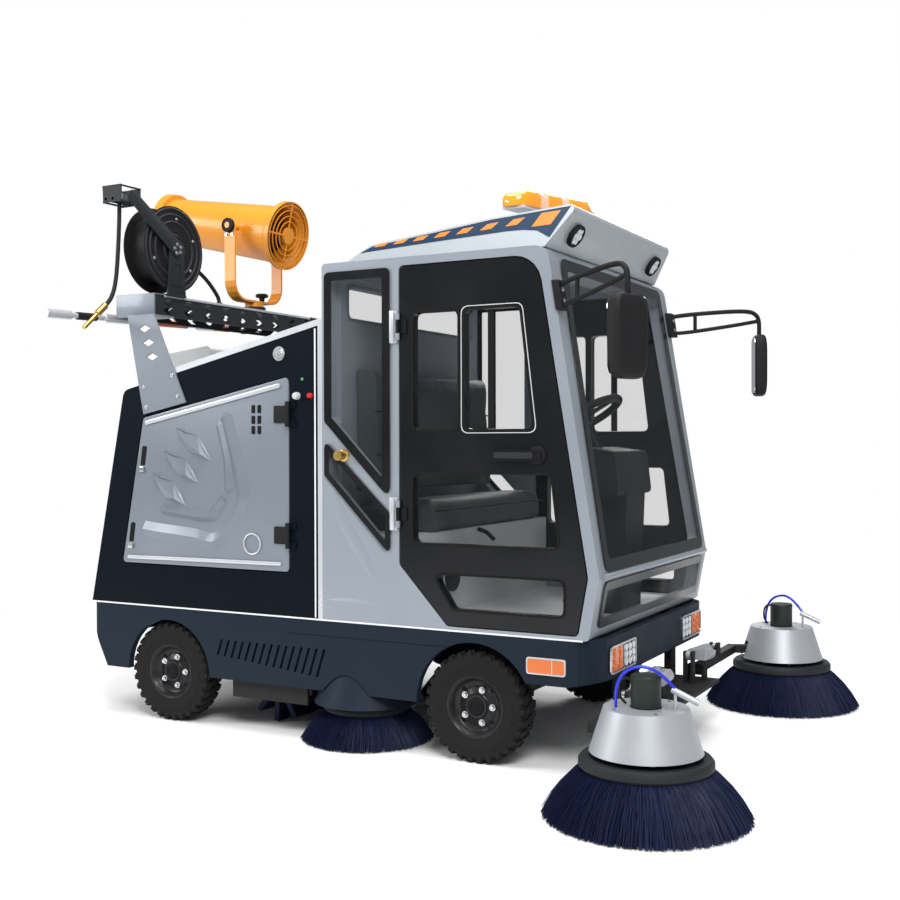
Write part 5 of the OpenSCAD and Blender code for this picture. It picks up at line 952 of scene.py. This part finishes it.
settle("kneeBar", single(addTube, [spot(faceX(698) + 2, y, 698) for y in (-600, -300, 0, 300, 600)], 0.013),
       "cabSilver", "chassis")


def makeCabSide(side, sign):
    tail, body = side.capitalize(), "cab_door_" + side
    glassFace, sheet = sideFace(sign, 643.3), sideFace(sign, halfWidth)
    bm = bmesh.new()
    addBorder(bm, cabPanes["quarter"], 34, 0.3, 1.3, glassFace, 24)
    addBorder(bm, cabPanes["slot"], 22, 0.3, 1.3, glassFace, 16)
    settle("quarterBorders" + tail, bm, "doorBlack", "chassis", smooth=0)
    bm = bmesh.new()
    addRidge(bm, [(806, 1060), (880, 870), (980, 720), (1020, 640)], 26, 6, sheet)
    addRidge(bm, [(812, 560), (900, 556), (1060, 556)], 16, 5, sheet)
    settle("quarterPress" + tail, bm, "cabSilver", "chassis", smooth=30)
    settle("quarterLock" + tail, single(addTurned,
            [(0.024, 0), (0.024, 0.006), (0.016, 0.01), (0.014, 0.03), (0.019, 0.034), (0.019, 0.046), (0, 0.048)],
            facing(sheet(886, 1118, 0), (0, sign, 0)), 28), "brassWarm", "chassis")
    bm = bmesh.new()
    for outline in cabPanes["doorWindows"]:
        addBorder(bm, shrunk(outline, -7), 8, -0.5, 2.0, sheet, 30)
    settle("doorSeals" + tail, bm, "sealBlack", body, smooth=0)
    settle("sliderFrame" + tail, single(addBorder, shrunk(cabPanes["doorWindows"][1], -14), 3, -0.5, 2.2, sheet, 30),
           "plasticGrey", body, smooth=0)
    settle("sliderBar" + tail, single(addPrism, box2(1500, 1216, 1524, 1646), -24, -8, sheet), "sealBlack", body,
           smooth=0)
    # long lever on a rosette
    settle("leverRosette" + tail, single(addTurned,
            [(0.034, 0), (0.034, 0.008), (0.03, 0.014), (0.02, 0.016), (0.02, 0.02), (0, 0.021)],
            facing(sheet(1700, 1121, 0), (0, sign, 0)), 32), "plasticBlack", body)
    settle("leverFace" + tail, single(addPrism, roundedOutline(box2(1536, 1110, 1690, 1132), 10), 21.5, 24.5, sheet),
           "rackCharcoal", body, bevel=0.001)
    bm = bmesh.new()
    for z in (900, 1600):
        addTurned(bm, [(0, -0.06), (0.011, -0.06), (0.011, 0.06), (0, 0.06)],
                  Matrix.Translation(spot(1106, sign * 644, z)), 20)
        addPrism(bm, roundedOutline(box2(1090, z - 62, 1126, z + 62), 5), 0, 5, sheet)
    settle("doorHinges" + tail, bm, "trimSilver", "chassis", bevel=0.001)


for side, sign in (("right", -1), ("left", 1)):
    makeCabSide(side, sign)
print("cab made")

# rack: silver end caps, the reel's pedestal, arm and open guide, lance grips, cannon clamps
rackSpots = {"reel": (-475, 2010), "guide": (-755, 2195), "front": -95.5}
for side, sign in (("right", -1), ("left", 1)):
    bm = bmesh.new()
    addBox(bm, spot(-314, sign * 603 - 4, 1709), spot(-98, sign * 603 + 4, 1807))
    low, high = sorted((sign * 605, sign * 545))
    addBox(bm, spot(-314, low, 1803.3), spot(-98, high, 1808))
    # beam caps in the darker silver, painted shade
    settle("beamCap" + side.capitalize(), bm, "doorSilverPaintedShade", "chassis", bevel=0.003)
settle("beamLip", single(addBox, spot(-103, -540, 1796), spot(-99, 540, 1806)), "trimSilver", "chassis",
       bevel=0.001)


def reelFace(u, v, h):
    return spot(rackSpots["front"] + h, u, v)


(reelY, reelZ), (guideY, guideZ) = rackSpots["reel"], rackSpots["guide"]
bm = bmesh.new()
addPrism(bm, roundedOutline([(reelY - 58, 1803.3), (reelY + 58, 1803.3), (reelY + 40, reelZ + 40),
        (reelY - 40, reelZ + 40)], [4, 4, 38, 38]), 0, 9, reelFace)
addBorder(bm, [(reelY - 34, 1850), (reelY + 34, 1850), (reelY + 28, 1950), (reelY - 28, 1950)], 7, 8, 12, reelFace, 6)
addBox(bm, spot(-311, reelY - 60, 1803.3), spot(-86, reelY + 60, 1812))
addTube(bm, [spot(-250, reelY, reelZ), spot(-84, reelY, reelZ)], 0.0118, 20)
addTube(bm, [spot(-259, reelY, reelZ), spot(-225, reelY, reelZ)], 0.023, 24)
settle("reelPedestal", bm, "rackCharcoal", "chassis", replaced=("reel_frame",), bevel=0.0015)
bm = bmesh.new()
along = (Vector((guideY, guideZ)) - Vector((reelY, reelZ))).normalized()
across = Vector((-along.y, along.x))
hub, tip = Vector((reelY, reelZ)) - along * 34, Vector((guideY, guideZ)) + along * 14
addPrism(bm, roundedOutline([tuple(hub - across * 36), tuple(tip - across * 27), tuple(tip + across * 27),
        tuple(hub + across * 36)], [32, 24, 24, 32]), 9.5, 14.5, reelFace)
settle("reelArm", bm, "rackCharcoal", "chassis", bevel=0.0015)
bm = bmesh.new()
for y in (guideY - 58, guideY + 52):
    addBox(bm, spot(-186, y, guideZ - 34), spot(-86, y + 6, guideZ + 34))
for z in (guideZ - 34, guideZ + 28):
    addBox(bm, spot(-186, guideY - 58, z), spot(-180, guideY + 58, z + 6))
    addBox(bm, spot(-92, guideY - 58, z), spot(-86, guideY + 58, z + 6))
for x in (-170, -132):
    addTube(bm, [spot(x, guideY - 58, guideZ - 20), spot(x, guideY + 58, guideZ - 20)], 0.008)
settle("reelGuide", bm, "rackCharcoal", "chassis", bevel=0.0015)
bolts("reelBolts", "chassis", [(reelFace(reelY + 20 * math.cos(a), reelZ + 20 * math.sin(a), 14.5), (1, 0, 0))
        for a in (0.5, 1.8, 3.1, 4.3, 5.6)], 0.006, 0.005)
bm = bmesh.new()
for radius in (62, 118, 150, 176):  # pressed rings on the flange
    matrix = facing(spot(-103.2, reelY, reelZ), (1, 0, 0))
    addTurned(bm, [(radius / 1000 - 0.006, 0), (radius / 1000, 0.0045), (radius / 1000 + 0.006, 0)], matrix, 64)
settle("reelRings", bm, "rackCharcoal", "reel_drum", smooth=60)
bolts("reelFlangeBolts", "reel_drum",
      [(spot(-103.2, reelY + 134 * math.cos(a), reelZ + 134 * math.sin(a)), (1, 0, 0))
       for a in [0.4 + k * math.pi / 3 for k in range(6)]], 0.005, 0.004, corners=12)


def lancePoint(y):
    return spot(-351, y, 1700 + (y + 970) * 40 / 1490)


for name, finish, spans in (("lanceGripsBlack", "plasticBlack", ((-966, -880), (-800, -690))),
                            ("lanceGripsOrange", "gripOrange", ((-330, -110), (90, 200)))):
    bm = bmesh.new()
    for a, b in spans:
        addTube(bm, [lancePoint(a), lancePoint(a + 6), lancePoint(b - 6), lancePoint(b)], 0.0165, 20)
    settle(name, bm, finish, "chassis", bevel=0.002)
cannonAt = spot(-191, 200, 2200)
for sign, tail in ((-1, "Right"), (1, "Left")):
    settle("cannonClamp" + tail, single(addTurned,
            [(0.0145, 0.189), (0.031, 0.189), (0.034, 0.192), (0.034, 0.206), (0.031, 0.209), (0.0145, 0.209)],
            facing(cannonAt, (0, sign, 0)), 32, closed=True), "plasticBlack", "cannon_yoke")
    bolts("cannonClampBolts" + tail, "cannon_yoke",
          [(cannonAt + Vector((x, sign * 0.1885, -0.042)), (0, sign, 0)) for x in (-0.018, 0.018)], 0.006, 0.006)
settle("cannonKnob", single(addTurned,
                            [(0.012, 0.012), (0.014, 0.03), (0.03, 0.034), (0.032, 0.042), (0.026, 0.05), (0, 0.052)],
                            Matrix.Translation(spot(-191, 260, 1850)), 24), "plasticBlack", "cannon_yoke")
print("rack made")

# brush drives: motor caps, their leads and cover bolts
for side, sign in (("right", -1), ("left", 1)):
    tail, body = side.capitalize(), "brush_arm_" + side
    x, y = frontBrush["at"]
    place = Matrix.Translation(spot(x, sign * y, 0))
    settle("brushMotor" + tail, single(addTurned,
            [(0.0465, 0.345), (0.0475, 0.346), (0.0475, 0.43), (0.0485, 0.431), (0.0485, 0.438), (0.045, 0.4425),
             (0, 0.4425)], place, 48), "motorGreen", body)
    bm = bmesh.new()
    lead = [(2147, sign * 930, 424), (2128, sign * 932, 430), (2112, sign * 932, 410), (2112, sign * 930, 370),
            (2130, sign * 926, 349)]
    addTube(bm, smoothRoute([spot(*p) for p in lead], 6), 0.004, 8)
    settle("brushLead" + tail, bm, "hoseBlack", body)
    bolts("coverBolts" + tail, body,
          [(spot(x + 112 * math.cos(a), sign * y + 112 * math.sin(a), 343.2), (0, 0, 1))
           for a in (1.2, 2.6, 4.0, 5.3)], 0.005, 0.003)
print("brush drives made")

# bench: cushion and backrest blown up as cloth, with seams
benchShape = {"cushion": [(842, 826), (1196, 826), (1212, 850), (1206, 922), (1188, 938), (842, 908)],
              "back": [(842, 956), (954, 956), (930, 1452), (912, 1472), (842, 1472)], "half": 503,
              "voxel": 0.0096, "quickVoxel": 0.018, "cap": 0.022, "pressure": 4.0, "frames": 20, "side": 0.512,
              "cushionBox": (835, 1221, 0.8208, 0.947), "backBox": (835, 966, 0.949, 1.484)}


def makePad(name, key):
    rear, front, low, high = benchShape[key + "Box"]
    bm = bmesh.new()
    addPrism(bm, roundedOutline(benchShape[key], 14), -benchShape["half"], benchShape["half"], sideFace(1, 0))
    mesh = bpy.data.meshes.new(name)
    cleaned(bm).to_mesh(mesh)
    bm.free()
    pad = bpy.data.objects.new(name, mesh)
    scene.collection.objects.link(pad)
    remesh = pad.modifiers.new("remesh", "REMESH")
    remesh.mode = "VOXEL"
    remesh.voxel_size = benchShape["voxel"]
    start = bpy.data.meshes.new_from_object(pad.evaluated_get(bpy.context.evaluated_depsgraph_get()))
    pad.modifiers.clear()
    pad.data = start
    before = [v.co.copy() for v in start.vertices]
    cloth = pad.modifiers.new("cloth", "CLOTH")
    cloth.settings.use_pressure = True
    cloth.settings.uniform_pressure_force = benchShape["pressure"]
    cloth.settings.effector_weights.gravity = 0
    cloth.settings.quality = 4
    cloth.point_cache.frame_end = benchShape["frames"]
    for number in range(1, benchShape["frames"] + 1):
        scene.frame_set(number)
    blown = bpy.data.meshes.new_from_object(pad.evaluated_get(bpy.context.evaluated_depsgraph_get()))
    pad.modifiers.clear()
    scene.frame_set(1)
    for v, old in zip(blown.vertices, before):
        move = v.co - old
        if move.length > benchShape["cap"]:
            move = move.normalized() * benchShape["cap"]
        v.co = old + move
        v.co.x = min(max(v.co.x, spot(rear, 0, 0).x), spot(front, 0, 0).x)
        v.co.y = max(min(v.co.y, benchShape["side"]), -benchShape["side"])
        v.co.z = min(max(v.co.z, low), high)
    pad.data = blown
    pad.data.materials.clear()
    pad.data.materials.append(finishes["seatVinyl"])
    pad.data.shade_smooth()
    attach(pad, "chassis")
    if key == "cushion":
        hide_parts("seat")


makePad("benchCushion", "cushion")
makePad("benchBack", "back")
bm = bmesh.new()
for z in (1120, 1290):
    x = 958 - (z - 956) * 24 / 496
    addTube(bm, [spot(x, y, z) for y in (-500, -250, 0, 250, 500)], 0.0028, 8)
addTube(bm, [spot(1213, y, 905) for y in (-500, 0, 500)], 0.0028, 8)
settle("benchSeams", bm, "sealBlack", "chassis")
# things round the bench: speaker, slots, a lever and a red switch
bm = bmesh.new()
for y in (-330, 330):
    addTurned(bm, [(0.06, 0), (0.06, 0.006), (0.05, 0.008), (0, 0.005)], facing(spot(1190.4, y, 640), (1, 0, 0)), 36)
for k in range(5):
    addBox(bm, spot(1190.4, -180 + k * 50, 700), spot(1192, -150 + k * 50, 708))
settle("benchSpeaker", bm, "plasticBlack", "chassis")
settle("benchLever", single(addTube, [spot(1200, -120, 812), spot(1240, -124, 800), spot(1276, -128, 772)], 0.009,
                            12), "plasticBlack", "chassis")
settle("dashSwitch", single(addTurned,
                            [(0.02, 0), (0.02, 0.02), (0.028, 0.024), (0.028, 0.036), (0.02, 0.042), (0, 0.042)],
                            facing(spot(1640, -70, 1110), (-0.8, 0, 0.6)), 24), "buttonRed", "chassis")
bm = bmesh.new()
for y in (-60, 60):
    addBox(bm, spot(1560, y - 32, 531), spot(1625, y + 32, 545))
settle("pedals", bm, "plasticBlack", "chassis", bevel=0.004)
print("bench made")

# floor, light and background
floorMesh = bpy.data.meshes.new("studioFloor")
floorMesh.from_pydata([(-30, -30, 0), (30, -30, 0), (30, 30, 0), (-30, 30, 0)], [], [(0, 1, 2, 3)])
floorPiece = bpy.data.objects.new("studioFloor", floorMesh)
scene.collection.objects.link(floorPiece)
floorMaterial = bpy.data.materials.new("studioFloor")
floorMaterial.use_nodes = True
floorTree = floorMaterial.node_tree
floorShader = floorTree.nodes["Principled BSDF"]
floorShader.inputs["Base Color"].default_value = (0.97, 0.97, 0.97, 1)
floorShader.inputs["Roughness"].default_value = 0.9
floorShader.inputs["Specular IOR Level"].default_value = 0.1
floorWhere = addNode(floorTree, "ShaderNodeTexCoord")
floorFar = addNode(floorTree, "ShaderNodeVectorMath", {"operation": "LENGTH"}, i0=floorWhere.outputs["Object"])
floorFade = addNode(floorTree, "ShaderNodeMapRange", i0=floorFar.outputs["Value"], i1=1.9, i2=4.2, i3=0.0, i4=1.0)
floorWhite = addNode(floorTree, "ShaderNodeEmission", Color=(1, 1, 1, 1), Strength=1.0)
floorRay = addNode(floorTree, "ShaderNodeLightPath")
floorShown = addNode(floorTree, "ShaderNodeMath", {"operation": "MULTIPLY"}, i0=floorFade.outputs[0],
                     i1=floorRay.outputs["Is Camera Ray"])
floorMix = addNode(floorTree, "ShaderNodeMixShader", i0=floorShown.outputs[0], i1=floorShader.outputs[0],
                   i2=floorWhite.outputs[0])
floorTree.links.new(floorMix.outputs[0], floorTree.nodes["Material Output"].inputs["Surface"])
floorMesh.materials.append(floorMaterial)
world = bpy.data.worlds.new("studioWorld")
scene.world = world
world.use_nodes = True
sky = world.node_tree
backdrop = sky.nodes["Background"]
backdrop.inputs["Color"].default_value = (0.9, 0.92, 0.95, 1)
backdrop.inputs["Strength"].default_value = 0.34
pale = addNode(sky, "ShaderNodeBackground", Color=(1, 1, 1, 1), Strength=1.0)
ray = addNode(sky, "ShaderNodeLightPath")
seen = addNode(sky, "ShaderNodeMath", {"operation": "MAXIMUM"}, i0=ray.outputs["Is Camera Ray"],
               i1=ray.outputs["Is Transmission Ray"])
shown = addNode(sky, "ShaderNodeMixShader", i0=seen.outputs[0], i1=backdrop.outputs[0], i2=pale.outputs[0])
sky.links.new(shown.outputs[0], sky.nodes["World Output"].inputs["Surface"])


def softLight(name, place, target, power, size):
    data = bpy.data.lights.new(name, "AREA")
    data.energy = power
    data.size = size
    lamp = bpy.data.objects.new(name, data)
    lamp.location = place
    lamp.rotation_euler = (Vector(target) - Vector(place)).to_track_quat("-Z", "Y").to_euler()
    scene.collection.objects.link(lamp)


softLight("keyLight", (3.2, -4.6, 5.2), (0, 0, 0.9), 330, 2.6)
softLight("sideLight", (-4.5, -3.5, 3.2), (0, 0, 1), 130, 2.0)
softLight("backLight", (-1.5, 4.8, 4.2), (0, 0, 1.2), 200, 2.5)
softLight("topLight", (0.4, -0.6, 6.0), (0, 0, 0), 260, 4.0)
